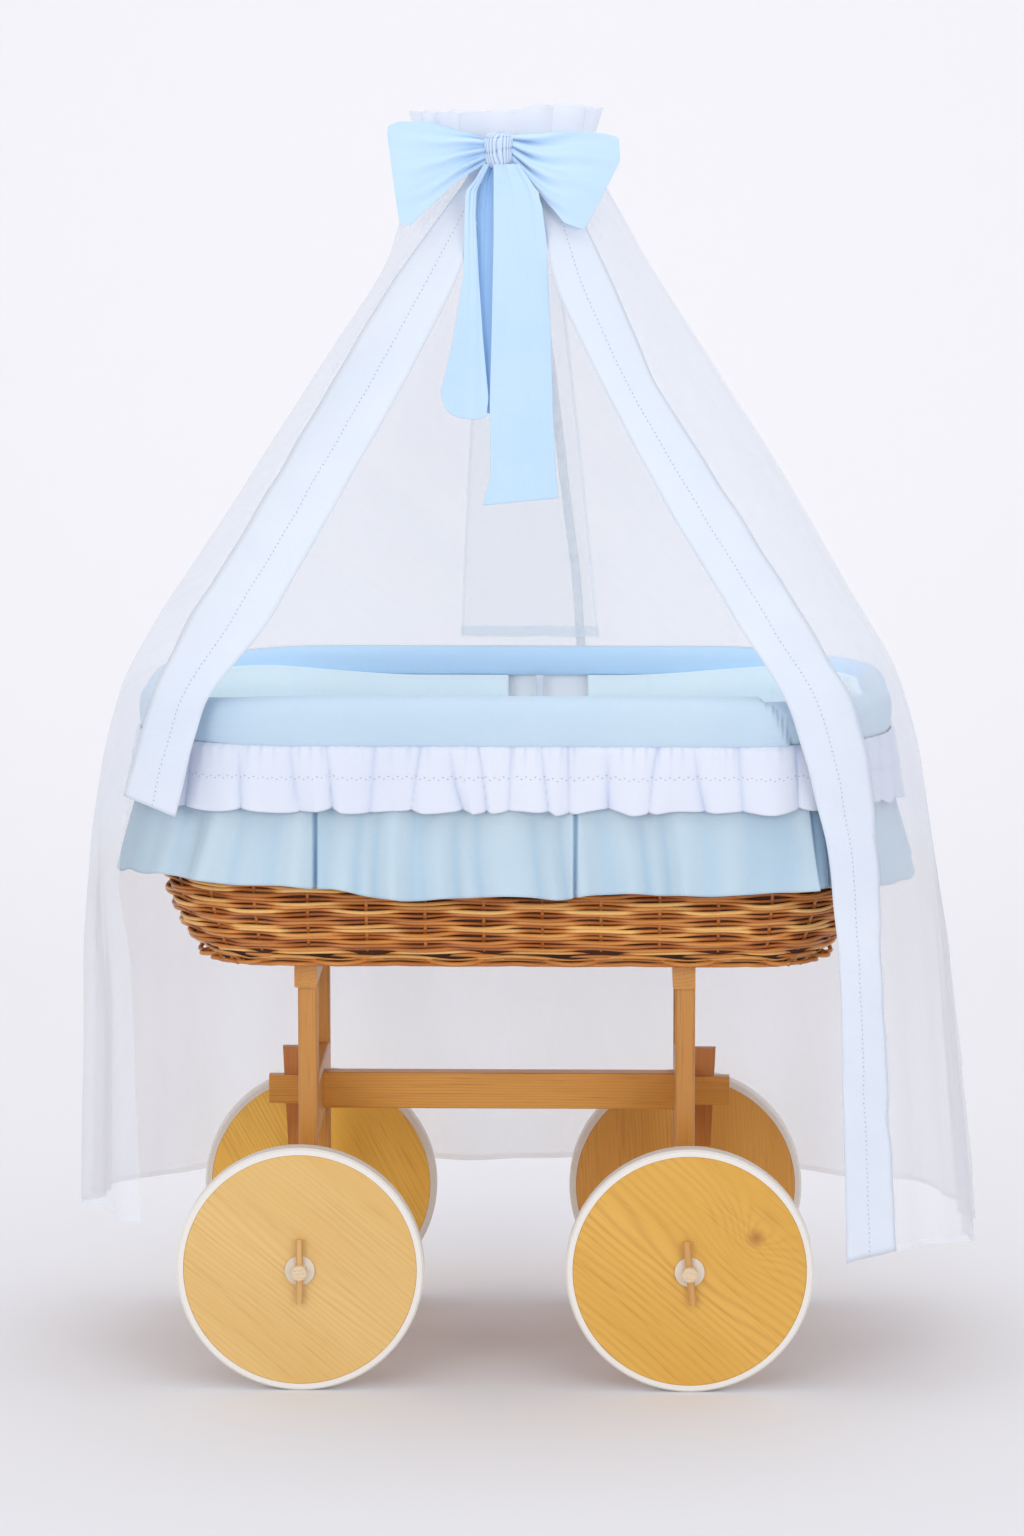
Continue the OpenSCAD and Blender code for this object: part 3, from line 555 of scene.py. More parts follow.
def wicker_floor():
    """The woven floor seen from below: sticks along X with weavers along Y."""
    rods = Rods(5)
    low, high = box("base_board")
    corner_r = 0.066
    z = BASKET_Z + 0.004
    reach_x = high[0] + 0.004
    for y in np.linspace(low[1] + 0.02, high[1] - 0.02, 6):
        half = reach_x - 0.07 * (abs(y) / high[1]) ** 3
        rods.add([(-half, y, z), (0, y, z), (half, y, z)], 0.003, tone=0.6)
    for k, x in enumerate(np.arange(-reach_x + 0.006, reach_x, 0.0062)):
        corner = max(0.0, abs(x) - (high[0] - corner_r)) / corner_r
        half = high[1] - corner_r + corner_r * math.sqrt(max(0.0, 1 - min(corner, 1) ** 2))
        y = np.linspace(-half, half, 26)
        lift = 0.0022 * np.cos(y / (2 * high[1] - 0.04) * 6 * math.pi + math.pi * (k % 2))
        path = np.column_stack([np.full(26, x), y, z + lift])
        rods.add(path, 0.0026, tone=RNG.uniform(0.2, 0.9), side=(0, 0, 1))
    rods.piece("wicker_floor", MAT["willow"], "wicker")


wicker()
wicker_floor()


# ---------- canopy surface ----------

# The canopy from the ring down to the hem, close to the CAD's: height, half-length,
# half-width, middle Y, squareness of the outline and middle X, in metres
CANOPY = np.array([
    (1.225, 0.086, 0.046, 0.014, 2.0, -0.011), (1.110, 0.139, 0.103, 0.022, 2.1, 0.0025),
    (1.005, 0.2045, 0.144, 0.018, 2.2, 0.002), (0.885, 0.281, 0.201, 0.012, 2.6, 0),
    (0.776, 0.354, 0.241, 0.004, 3.0, -0.005), (0.710, 0.393, 0.253, 0, 3.6, -0.004),
    (0.644, 0.412, 0.254, 0, 4.0, -0.0035), (0.560, 0.4245, 0.254, 0, 4.4, -0.003),
    (0.440, 0.4365, 0.254, 0, 4.4, 0.002), (HEM_Z, 0.454, 0.254, 0, 4.4, 0.014),
])
# Height, then how far the inner and outer edge of a front band stand from the middle
LEFT_BAND = np.array([
    (1.225, 0.018, 0.040), (1.110, 0.059, 0.122), (1.005, 0.113, 0.185), (0.885, 0.182, 0.255),
    (0.776, 0.244, 0.324), (0.710, 0.302, 0.356), (0.650, 0.318, 0.374), (0.590, 0.333, 0.388),
    (0.520, 0.352, 0.398), (0.440, 0.370, 0.384), (HEM_Z, 0.370, 0.376),
])
RIGHT_BAND = np.array([
    (1.225, 0.018, 0.040), (1.110, 0.038, 0.096), (1.005, 0.090, 0.142), (0.885, 0.157, 0.222),
    (0.776, 0.226, 0.292), (0.710, 0.270, 0.334), (0.644, 0.291, 0.352), (0.560, 0.312, 0.361),
    (0.440, 0.325, 0.366), (HEM_Z, 0.335, 0.385),
])


def rounded(table):
    """A table by height, resampled every 2 mm and rounded off between its rows."""
    z = np.arange(table[-1, 0] - 0.05, table[0, 0] + 0.05, 0.002)
    order = table[::-1]
    columns = [np.interp(z, order[:, 0], order[:, k]) for k in range(1, table.shape[1])]
    kernel = np.hanning(37)
    kernel /= kernel.sum()
    soft = [np.convolve(np.pad(c, 18, mode="edge"), kernel, mode="valid") for c in columns]
    return z, soft


OUTLINE, LEFT, RIGHT = rounded(CANOPY), rounded(LEFT_BAND), rounded(RIGHT_BAND)


def read(table, z):
    return [np.interp(z, table[0], column) for column in table[1]]


def canopy_point(angle, z, out=0.0):
    """Points of the canopy at an angle round the basket, 0 at the right end and 90 degrees at the back."""
    a, b, mid_y, square, mid_x = read(OUTLINE, z)
    e = 2 / square
    c, s = np.cos(angle), np.sin(angle)
    x, y = blunt(c, e), blunt(s, e)
    nx, ny = blunt(x, square - 1) / a, blunt(y, square - 1) / b
    size = np.hypot(nx, ny)
    x, y = mid_x + a * x + out * nx / size, mid_y + b * y + out * ny / size
    return np.stack([x, y, np.broadcast_to(z, x.shape)], -1)


def edge_angle(z, x, side):
    """The angle at which the front of the canopy stands x from the middle, on the right or left."""
    a, _, _, square, mid_x = read(OUTLINE, z)
    angle = np.arccos(np.clip((x - side * mid_x) / a, 0, 1) ** (square / 2))
    return -angle if side > 0 else math.pi + angle


def even_angles(z, start, end, count):
    """Angles that divide each row of the canopy into equal lengths."""
    rows = []
    for height, a0, a1 in zip(z, start, end):
        fine = np.linspace(a0, a1, 700)
        points = canopy_point(fine, height)
        run = np.concatenate([[0], np.cumsum(np.linalg.norm(np.diff(points, axis=0), axis=1))])
        rows.append(np.interp(np.linspace(0, run[-1], count), run, fine))
    return np.array(rows)


VEIL_TOP = CANOPY[0, 0] + 0.006
VEIL_ROWS, UPPER_ROWS, VEIL_COLS = 130, 62, 560
SHOULDER_Z = 0.72                # where the tent ends and the hanging part begins
COTTON = 0.0008                  # thickness of most cotton pieces
FILL_FRAMES = 20                 # how long the mattress fills


def folds(u, z):
    """How far the veil's folds stand out: fine gathers at the ring, slow folds in the hanging part."""
    gathers = 0.0017 * smooth(z, 1.12, 1.22) * ripple(u, 1, (34, 47), 3)
    tent = 0.005 * smooth(z, 0.74, 0.95) * smooth(1.2 - z, 0, 0.2)
    tent = tent * ripple(u + 0.02 * (1 - z), 1, (5, 9, 14), 4)
    hanging = smooth(0.66 - z, 0, 0.45)
    sway = u + 0.006 * np.sin(5 * z)
    behind = smooth(u, 0.22, 0.30) * smooth(0.78 - u, 0, 0.08)
    drop = 0.011 * hanging * ripple(sway, 1, (9, 14, 17), 5)
    drop = drop + 0.003 * (1 - behind) * hanging * ripple(sway, 1, (23, 31, 43), 6)
    left_side = smooth(u, 0.78, 0.84) * smooth(0.99 - u, 0, 0.05) * smooth(0.52 - z, 0, 0.2)
    bunch = -0.008 * left_side * (1 - np.cos(TAU * 15 * sway))
    inward = 0.004 + 0.03 * smooth(0.49 - z, 0, 0.12)
    return np.maximum(gathers + tent + drop * (1 - 0.6 * left_side) + bunch, -inward)


def hem_height(u):
    """The hem's height at a share of the way round: low on the right, highest at the left edge."""
    sides = 0.030 * smooth(0.22 - u, 0, 0.22) + 0.054 * smooth(u, 0.70, 0.98)
    return 0.122 + sides + 0.018 * np.exp(-((u - 0.52) / 0.2) ** 2) + 0.0025 * ripple(u, 1, (9, 14), 8)


def veil():
    z_rows = np.concatenate([np.linspace(VEIL_TOP, SHOULDER_Z, UPPER_ROWS),
                             np.linspace(SHOULDER_Z - 0.008, HEM_Z, VEIL_ROWS - UPPER_ROWS)])
    left = edge_angle(z_rows, read(LEFT, z_rows)[1] - 0.004, -1)
    right = edge_angle(z_rows, read(RIGHT, z_rows)[1] - 0.004, 1)
    u = np.broadcast_to(np.linspace(0, 1, VEIL_COLS), (VEIL_ROWS, VEIL_COLS))
    angle = even_angles(z_rows, right, left, VEIL_COLS)
    z = np.repeat(z_rows[:, None], VEIL_COLS, 1)
    edge = smooth(u, 0, 0.03) * smooth(1 - u, 0, 0.03)
    points = canopy_point(angle, z, 0.003 + folds(u, z) * edge)
    low = smooth(0.34 - z, 0, 0.2)
    points[..., 2] += low * (hem_height(u) - HEM_Z)
    run = lengths(points)
    uv = np.stack([run, points[..., 2] - points[-1:, :, 2]], -1)
    made = cloth_grid("veil", points, MAT["voile"], "voile", uv)
    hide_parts("canopy_left", "canopy_right", "canopy_back",
                "drape_left", "drape_right", "drape_back")


def band(side, table, bottom_in, bottom_out, name, node):
    """The hemstitched band down one front edge of the veil."""
    rows, cols = 150, 12
    t = np.linspace(0, 1, rows)[:, None]
    w = np.linspace(0, 1, cols)[None]
    bottom = bottom_in + (bottom_out - bottom_in) * w
    z = VEIL_TOP + (bottom - VEIL_TOP) * t
    inner, outer = read(table, z)
    x = inner + (outer - inner) * w
    angle = edge_angle(z, x, side)
    wave = 0.0015 * ripple(z * 2.2 + 0.1 * w, 1, (3, 5, 8), 20 + side) * smooth(1.15 - z, 0, 0.2)
    points = canopy_point(angle, z, 0.0045 + wave)
    run = lengths(points.swapaxes(0, 1)).T
    uv = np.stack([lengths(points), run], -1)
    made = cloth_grid(name, points, MAT["band"], "band_cotton", uv, thick=COTTON)
    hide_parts(node)
    stitches = stitch_row(name + "_hemstitch", points[:, int(cols * 0.42)], 0.0047)


def stitch_row(name, line, pitch, lift=0.0009, zigzag=0.0004):
    """A hemstitched row: small thread knots, set alternately a little up and down."""
    step = np.concatenate([[0], np.cumsum(np.linalg.norm(np.diff(line, axis=0), axis=1))])
    at = np.arange(pitch, step[-1], pitch)
    centre = np.column_stack([np.interp(at, step, line[:, k]) for k in range(3)])
    ahead = np.column_stack([np.interp(at + 0.001, step, line[:, k]) for k in range(3)]) - centre
    ahead /= np.maximum(np.linalg.norm(ahead, axis=1), 1e-9)[:, None]
    out = centre * (1, 1, 0)
    out /= np.linalg.norm(out, axis=1)[:, None]
    across = np.cross(ahead, out)
    rods = Rods(4)
    for k, (c, a, o, x) in enumerate(zip(centre, ahead, out, across)):
        c = c + lift * o + x * (zigzag if k % 2 else -zigzag)
        rods.add([c - a * 0.0006, c + a * 0.0006], 0.00042, tone=0.5, side=o)
    return rods.piece(name, MAT["stitch"], "band_cotton")


veil()
band(-1, LEFT, 0.590, 0.606, "band_left_cloth", "band_left")
band(1, RIGHT, 0.142, 0.152, "band_right_cloth", "band_right")


def inner_panel():
    """The narrow second layer inside the back of the canopy, with a hem on three sides."""
    low, high = box("back_panel")
    rows, cols = 60, 40
    co = vertices("back_panel")
    heights = np.unique(np.round(co[:, 2], 3))
    level = [co[abs(co[:, 2] - z) < 1e-3] for z in heights]
    left = [p[:, 0].min() for p in level]
    right = [p[:, 0].max() for p in level]
    front = [p[:, 1].min() for p in level]
    z = np.repeat(np.linspace(high[2], low[2], rows)[:, None], cols, 1)
    w = np.broadcast_to(np.linspace(0, 1, cols), z.shape)
    x = np.interp(z, heights, left) * (1 - w) + np.interp(z, heights, right) * w
    wave = 0.003 * ripple(w, 1, (2, 3), 31) * smooth(high[2] - z, 0, 0.3)
    y = np.interp(z, heights, front) + 0.0015 + wave
    points = np.stack([x, y, z], -1)
    uv = np.stack([lengths(points), z - low[2]], -1)
    made = cloth_grid("inner_panel", points, MAT["inner_voile"], "voile", uv)
    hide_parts("back_panel")
    hem, proud = 0.0035, 0.0012
    at_foot = np.where(z < low[2] + 0.001, hem, 0)
    inside = points + np.stack([hem * (1 - 2 * w), 0 * w - proud, at_foot], -1)
    outer = np.concatenate([points[:, 0], points[-1, 1:-1], points[::-1, -1]]) - (0, proud, 0)
    inner = np.concatenate([inside[:, 0], points[-1, 1:-1] + (0, -proud, hem), inside[::-1, -1]])
    strip = np.stack([outer, inner])
    uv = np.full(strip.shape[:2] + (2,), 0.5)
    edge = cloth_grid("inner_panel_hem", strip, MAT["panel_hem"], "voile", uv)


inner_panel()


# ---------- frill, skirt and padding ----------

def gather_phase(s, wavelength, seed):
    """A running phase whose wavelength wanders, closing on itself round the rim."""
    rate = 1 / (wavelength * (1 + 0.42 * ripple(s, RIM_L, (5, 11, 17), seed)))
    phase = np.cumsum(rate) * (s[1] - s[0])
    whole = round(phase[-1])
    return TAU * phase * whole / phase[-1]


def frill():
    """A gathered strip: narrow valleys between wide lobes, whose depth grows towards the hem, with painted
    shade in the valleys.
    """
    rows = 34
    s = np.linspace(0, RIM_L, 2000, endpoint=False)
    v = np.linspace(0, 1, rows)[:, None]
    main = gather_phase(s, 0.040, 41)
    fine = gather_phase(s, 0.013, 42)
    slanted = s + 0.011 * v * ripple(s, RIM_L, (9, 16, 27), 47)
    turns = TAU * round((main[-1] + main[1] - main[0]) / TAU)
    main = np.interp(slanted, np.concatenate([s - RIM_L, s, s + RIM_L]),
                     np.concatenate([main - turns, main, main + turns]))
    lobe = np.abs(np.sin(main / 2)) ** 0.55
    size = 0.75 + 0.3 * ripple(s, RIM_L, (13, 19, 29), 45)
    depth = (0.0016 + 0.0064 * v ** 0.9) * size
    normal = depth * lobe + 0.0005 * np.exp(-5 * v) * np.sin(fine)
    normal = normal + 0.0034 * v * ripple(s, RIM_L, (21, 37), 43)
    reach = smooth(ripple(s, RIM_L, (17, 26, 41), 46) + 0.5, 0, 1)
    # Painted shade in the narrow valleys and between the fine gathers at the top.
    valley = np.exp(-(lobe / 0.36) ** 2) * (0.15 + reach * (1 - v) + (1 - reach) * v)
    painted_shading = 0.7 * valley + 0.5 * np.exp(-7 * v) * smooth(np.sin(fine), 0.2, 1) * reach
    along = 0.0022 * v * size * np.sin(main + 0.8)
    low = FRILL_LOW + 0.003 - 0.004 * (lobe - 0.6) * size + 0.0026 * ripple(s, RIM_L, (23, 31), 44)
    z = FRILL_TOP + 0.003 + (low - FRILL_TOP - 0.003) * v
    point, away = rim(s)
    base = outside("frill", z) - 0.0035 * smooth(0.09 - v, 0, 0.09)
    tangent = np.stack([-away[:, 1], away[:, 0]], -1)
    plan = point + (base + normal - 0.0015)[..., None] * away + along[..., None] * tangent
    points = np.concatenate([plan, z[..., None]], -1)
    made = cloth_grid("frill_cloth", points, MAT["frill"], "frill_cotton", wrap=True, thick=COTTON,
                      painted_shading=painted_shading)
    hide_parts("frill")
    row = points[int(rows * 0.48)]
    stitches = stitch_row("frill_hemstitch", np.concatenate([row, row[:1]]), 0.0046, 0.0008, 0.0013)


OPEN_SLIT = 0.302                # the slit beside the right band gapes, the others are shut
SLITS = [-0.196, 0.063, OPEN_SLIT, 0.58, 0.855, 1.13, 1.405, 1.68]
# Distance along the rim from the front's middle, and the height of the skirt's hem there
SKIRT_HEM = [(-0.55, 0.517), (-0.42, 0.519), (-0.33, 0.528), (-0.27, 0.523), (-0.18, 0.518), (-0.11, 0.510),
             (0.04, 0.512), (0.19, 0.516), (0.32, 0.516), (0.55, 0.511)]


def skirt():
    """Four cotton panels in one run, with soft folds and a sunken inverted pleat at each slit, and painted
    shade in the pleats and the fold valleys.
    """
    rows = 48
    s = np.linspace(0, RIM_L, 1800, endpoint=False)
    v = np.linspace(0, 1, rows)[:, None]
    groove = np.zeros(len(s))
    lift = np.zeros(len(s))
    for slit in SLITS:
        gap = from_front(s - slit)
        half = 0.0098 if slit == OPEN_SLIT else 0.0032
        groove += smooth(half - np.abs(gap), 0, 0.0020)
        lift += np.exp(-((gap + 0.012) / 0.022) ** 2)
    sway = s + 0.006 * np.sin(3 * v + 9 * s)
    sharp = ripple(sway, RIM_L, (22, 29, 37, 46), 51)
    folds_now = sharp * (0.75 + 0.25 * np.abs(sharp))
    wide = ripple(s, RIM_L, (8, 13), 52)
    point, away = rim(s)
    ends = smooth(np.abs(point[:, 0]), 0.30, 0.36)
    size = (1 - 0.85 * ends) * v ** 1.2
    normal = size * (0.0105 * folds_now + 0.004 * wide + 0.004 * lift) - 0.010 * groove * (0.35 + 0.65 * v)
    low = np.interp(from_front(s), *zip(*SKIRT_HEM))
    low = low - 0.002 * wide + 0.0022 * folds_now[-1] - 0.002 * lift
    z = SKIRT_TOP + (low - SKIRT_TOP) * v
    base = outside("skirt_front", z) - 0.001 + 0.004 * ends * v
    plan = point + (base + normal)[..., None] * away
    points = np.concatenate([plan, z[..., None]], -1)
    # Painted shade in the pleats at the slits and in the valleys of the front folds.
    valley = np.exp(-((folds_now + 0.35) / 0.36) ** 2)
    painted_shading = 0.7 * groove * (1 - 0.45 * v) + 0.26 * v ** 0.6 * valley * (1 - ends)
    made = cloth_grid("skirt_cloth", points, MAT["skirt"], "skirt_cotton", wrap=True, thick=0.0009,
                      painted_shading=painted_shading)
    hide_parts("skirt_front", "skirt_back", "skirt_left", "skirt_right")


def swept(name, profile, material, slot, s, shape, wrap=True):
    """A closed profile, (outside the rim, height), carried along the rim and shaped on the way."""
    point, away = rim(s)
    points = np.array([at_rim(point, away, *shape(s, k, out, z)) for k, (out, z) in enumerate(profile)])
    count, cols = points.shape[:2]
    faces = (grid_faces(count + 1, cols, wrap) % (count * cols)).tolist()
    if not wrap:
        faces.append([i * cols for i in range(count)])
        faces.append([i * cols + cols - 1 for i in range(count)][::-1])
    return piece(name, points, faces, material, slot)


def rim_cover():
    """The padded cover: the front and back pads stand proud of the corner pads between them."""
    top, low = COVER_TOP, COVER_LOW
    outer = [(0.0075, low - 0.001), (0.0098, low + 0.003), (0.0110, low + 0.012), (0.0116, low + 0.024),
             (0.0108, low + 0.035), (0.0082, top - 0.007), (0.0040, top - 0.0025), (-0.002, top - 0.0003),
             (-0.009, top), (-0.0155, top - 0.002), (-0.0205, top - 0.007), (-0.0228, top - 0.015),
             (-0.0222, top - 0.024), (-0.0195, top - 0.032)]
    inner = [(-0.0125, top - 0.031), (-0.0115, top - 0.012), (-0.006, RIM_Z + 0.0012),
             (0.0005, RIM_Z + 0.0012), (0.0015, RIM_Z - 0.004), (0.0015, low + 0.001)]

    def shape(s, k, out, z):
        if k >= len(outer):
            return out, z
        front = np.abs(from_front(s))
        nearest = np.minimum(front, RIM_L / 2 - front)
        drop = (top - z) / (top - low)
        slant = 0.2535 + 0.0205 * min(1, drop) - 0.010 * max(0.0, 0.2 - drop) ** 2 / 0.04
        seamed = s < RIM_L / 4
        corner = np.where(seamed, smooth(nearest - slant, 0, 0.004), smooth(nearest, 0.20, 0.36))
        crease = seamed * np.exp(-((nearest - slant - 0.003) / 0.0028) ** 2)
        wave = 0.0008 * ripple(s, RIM_L, (13, 21, 34), 61)
        sink = 0.0055 * corner
        if out > -0.009:
            return out - corner * 0.0042 - 0.0028 * crease + wave * (k > 1), z - sink * (1 - drop) ** 2
        return out + 0.002 * corner + 0.002 * crease - wave, z - sink * max(0.0, 1 - drop)

    s = np.union1d(np.linspace(0, RIM_L, 900, endpoint=False), np.arange(0.232, 0.300, 0.0006))
    made = swept("rim_cover_pad", outer + inner, MAT["cover"], "cover_cotton", s, shape)
    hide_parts("rim_cover")
    # Painted light: the inside of the back's cover takes a lighter, bluer colour than the outside.
    inward = np.array([out < -0.012 for out, _ in outer] + [True] * len(inner))
    paint_shading(made, inward[:, None] * smooth(rim(s)[0][:, 1], 0, 0.12)[None])
    made.modifiers.new("round", "SUBSURF").render_levels = 1


def wicker_inside(z):
    return outside("wicker_basket", z) - 0.009


def nest_and_liner():
    low, high = box("padded_nest")
    tie_low, tie_high = box("nest_tie")
    gap_left, gap_right = -0.012, 0.072
    s = np.linspace(RIM_L / 2 - gap_left, RIM_L / 2 - gap_right + RIM_L, 620)
    levels = 9
    heights = np.linspace(low[2], high[2], levels)
    outer = [(wicker_inside(z) - 0.0045, z) for z in heights]
    inner = [(wicker_inside(z) - 0.0045 - 0.021 * (0.80 + 0.32 * math.sin(math.pi * k / (levels - 1))), z)
             for k, z in enumerate(heights)][::-1]

    def shape(s, k, out, z):
        back = np.minimum(np.abs(s - RIM_L / 2), np.abs(s - 1.5 * RIM_L))
        sag = 0.011 * smooth(0.30 - back, 0, 0.2) * (z - low[2]) / (high[2] - low[2])
        if k < levels:
            return out, z - sag
        quilt = 0.0030 * np.abs(np.sin(math.pi * s / 0.145)) ** 0.5 - 0.003
        return out - quilt + 0.0006 * ripple(s, RIM_L, (17, 29), 71), z - sag

    nest = swept("nest_pad", outer + inner, MAT["nest"], "nest_cotton", s, shape, wrap=False)
    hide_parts("padded_nest")

    heights = np.linspace(box("liner")[0][2], box("liner")[1][2], 26)
    s = np.linspace(0, RIM_L, 400, endpoint=False)
    point, away = rim(s)
    wave = 0.0004 * ripple(s, RIM_L, (31, 47), 72)
    rows = [at_rim(point, away, wicker_inside(z) - 0.0012 - wave, z) for z in heights]
    liner = cloth_grid("liner_cloth", np.array(rows), MAT["white"], "liner_cotton", wrap=True, thick=0.0006)
    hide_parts("liner")

    z = np.linspace(tie_high[2], tie_low[2], 40)[:, None]
    w = np.linspace(-1, 1, 5)[None]
    middle = (tie_low + tie_high) / 2
    half = (tie_high[0] - tie_low[0]) / 2
    x = middle[0] + half * w + 0.0012 * np.sin(34 * z)
    y = middle[1] + 0.0008 * np.sin(60 * z + w) + 0 * x
    points = np.stack([x, y, z + 0 * x], -1)
    tie = cloth_grid("nest_tie_ribbon", points, MAT["band"], "bow_cotton", thick=0.0006)
    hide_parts("nest_tie")


def inflate(obj, voxel, pressure, cap):
    """Fills a closed shape like a cushion: remesh, cloth with pressure, moves capped, then applied."""
    remesh = obj.modifiers.new("remesh", "REMESH")
    remesh.mode = "VOXEL"
    remesh.voxel_size = voxel
    apply_modifiers(obj)
    before = np.array([v.co for v in obj.data.vertices], float)
    cloth = obj.modifiers.new("fill", "CLOTH")
    cloth.settings.use_pressure = True
    cloth.settings.uniform_pressure_force = pressure
    cloth.settings.effector_weights.gravity = 0
    cloth.settings.tension_stiffness = 20
    cloth.settings.compression_stiffness = 20
    cloth.settings.bending_stiffness = 0.6
    scene = bpy.context.scene
    for number in range(1, FILL_FRAMES + 1):
        scene.frame_set(number)
    apply_modifiers(obj)
    scene.frame_set(1)
    after = np.array([v.co for v in obj.data.vertices], float)
    move = after - before
    size = np.linalg.norm(move, axis=1)[:, None]
    after = before + move * np.minimum(1, cap / np.maximum(size, 1e-9))
    obj.data.vertices.foreach_set("co", after.ravel())
    obj.data.polygons.foreach_set("use_smooth", np.ones(len(obj.data.polygons), bool))
    obj.data.update()


def apply_modifiers(obj):
    bpy.context.view_layer.update()
    graph = bpy.context.evaluated_depsgraph_get()
    mesh = bpy.data.meshes.new_from_object(obj.evaluated_get(graph))
    obj.modifiers.clear()
    old = obj.data
    obj.data = mesh
    bpy.data.meshes.remove(old)


def mattress():
    low, high = box("mattress")
    half = (high - low) / 2 - 0.006
    radius = 0.062
    count = 120
    angle = np.linspace(0, TAU, count, endpoint=False)
    plan = np.column_stack([
        np.sign(np.cos(angle)) * (half[0] - radius) + radius * np.cos(angle),
        np.sign(np.sin(angle)) * (half[1] - radius) + radius * np.sin(angle)])
    levels = [(0.0, 0.985), (0.012, 1), (high[2] - low[2] - 0.018, 1), (high[2] - low[2] - 0.006, 0.985)]
    rows = np.array([np.column_stack([plan * k, np.full(count, low[2] + z)]) for z, k in levels])
    sides, last = grid_faces(len(levels), count, True), (len(levels) - 1) * count
    faces = sides.tolist() + [list(range(count))[::-1], list(range(last, last + count))]
    made = piece("mattress_pad", rows, faces, MAT["white"], "mattress_fabric")
    inflate(made, 0.008, 2.0, 0.006)
    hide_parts("mattress")


frill()
skirt()
rim_cover()
nest_and_liner()
mattress()


# ---------- ruffle and bow ----------

def ruffle():
    """The crown above the ring: soft uneven lobes, higher to the right."""
    low, high = box("ruffle")
    middle, half = (low + high) / 2, (high - low) / 2
    cols, rows = 900, 26
    angle = np.linspace(0, TAU, cols, endpoint=False)
    v = np.linspace(0, 1, rows)[:, None]
    wave = 13 * angle + 1.3 * np.sin(3 * angle + 1) + 0.9 * np.sin(5 * angle)
    depth = 0.0012 + 0.0042 * v
    gathers = 0.0005 * np.exp(-4 * v) * np.sin(48 * angle + 2 * np.sin(4 * angle))
    lobe = np.abs(np.sin(wave / 2 + 0.3)) ** 0.7 * 2 - 1
    a = half[0] - 0.017 + 0.011 * v + depth * lobe + gathers
    b = half[1] - 0.014 + 0.008 * v + depth * lobe + gathers
    turn = angle + 0.012 * v * np.sin(wave)
    x = middle[0] + a * np.cos(turn)
    y = middle[1] + b * np.sin(turn)
    right = x[-1] - middle[0]
    crest = 0.0455 + 0.0075 * smooth(right, -0.01, 0.05) - 0.004 * smooth(right, 0.06, 0.09) + 0.0014 * lobe
    z = low[2] - 0.002 + crest * v
    points = np.stack([x, y, z + 0 * x], -1)
    uv = np.stack([lengths(points), z + 0 * x + 0.5], -1)
    made = cloth_grid("ruffle_cloth", points, MAT["ruffle"], "voile", uv, wrap=True)
    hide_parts("ruffle")


def bow_loop(side, name, node, top, bottom, tip):
    """A strip that runs out from the knot, folds over at the tip and comes back behind."""
    low, high = box(node)
    knot_low, knot_high = box("bow_knot")
    x0 = knot_high[0] - 0.006 if side > 0 else knot_low[0] + 0.006
    span = abs((high[0] if side > 0 else low[0]) - x0)
    rows, cols = 110, 60
    w = np.linspace(0, 1, rows)[:, None]
    v = np.linspace(0, 1, cols)[None]
    t = np.sin(math.pi * w) ** 0.75
    reach = np.interp(v, *zip(*tip))
    x = x0 + side * span * t * (reach * smooth(t) + 1 - smooth(t))
    ztop, zlow = np.interp(t, *zip(*top)), np.interp(t, *zip(*bottom))
    z = zlow + (ztop - zlow) * v
    back = np.cos(math.pi * w)
    middle_y, thick = (low[1] + high[1]) / 2, (high[1] - low[1]) / 2
    belly = np.sin(math.pi * t ** 0.8)
    y = middle_y - thick * back * (0.35 + 0.75 * belly) * (1 - 0.3 * (2 * v - 1) ** 2)
    spread = v + 0.05 * np.sin(5 * t + side)
    pleats = np.sin(TAU * (3.6 * spread + 0.15 * side)) + 0.45 * np.sin(TAU * 6.9 * spread + 1)
    pleats = np.exp(-3.4 * t) * pleats
    y = y + 0.0074 * pleats * np.abs(back) ** 0.3 * smooth(t, 0.02, 0.16)
    ridge = np.exp(-((v - 0.62 + 0.2 * t) / 0.07) ** 2)
    ridge = ridge + 0.8 * np.exp(-((v - 0.30 - 0.05 * t) / 0.06) ** 2)
    y = y - 0.0034 * ridge * np.exp(-1.6 * t) * smooth(t, 0.05, 0.3) * np.sign(back)
    y = y + 0.0026 * np.sin(TAU * (0.9 * v + 0.7 * t + 0.2 * side)) * t
    points = np.stack([x, y, z], -1)
    # Painted shade in the pleats' creases close to the knot.
    painted_shading = 0.75 * np.exp(-2.6 * t) * smooth(pleats, -0.1, 0.9) + 0 * x
    made = cloth_grid(name, points, MAT["bow"], "bow_cotton", thick=COTTON, painted_shading=painted_shading)
    made.modifiers.new("round", "SUBSURF").render_levels = 1
    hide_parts(node)


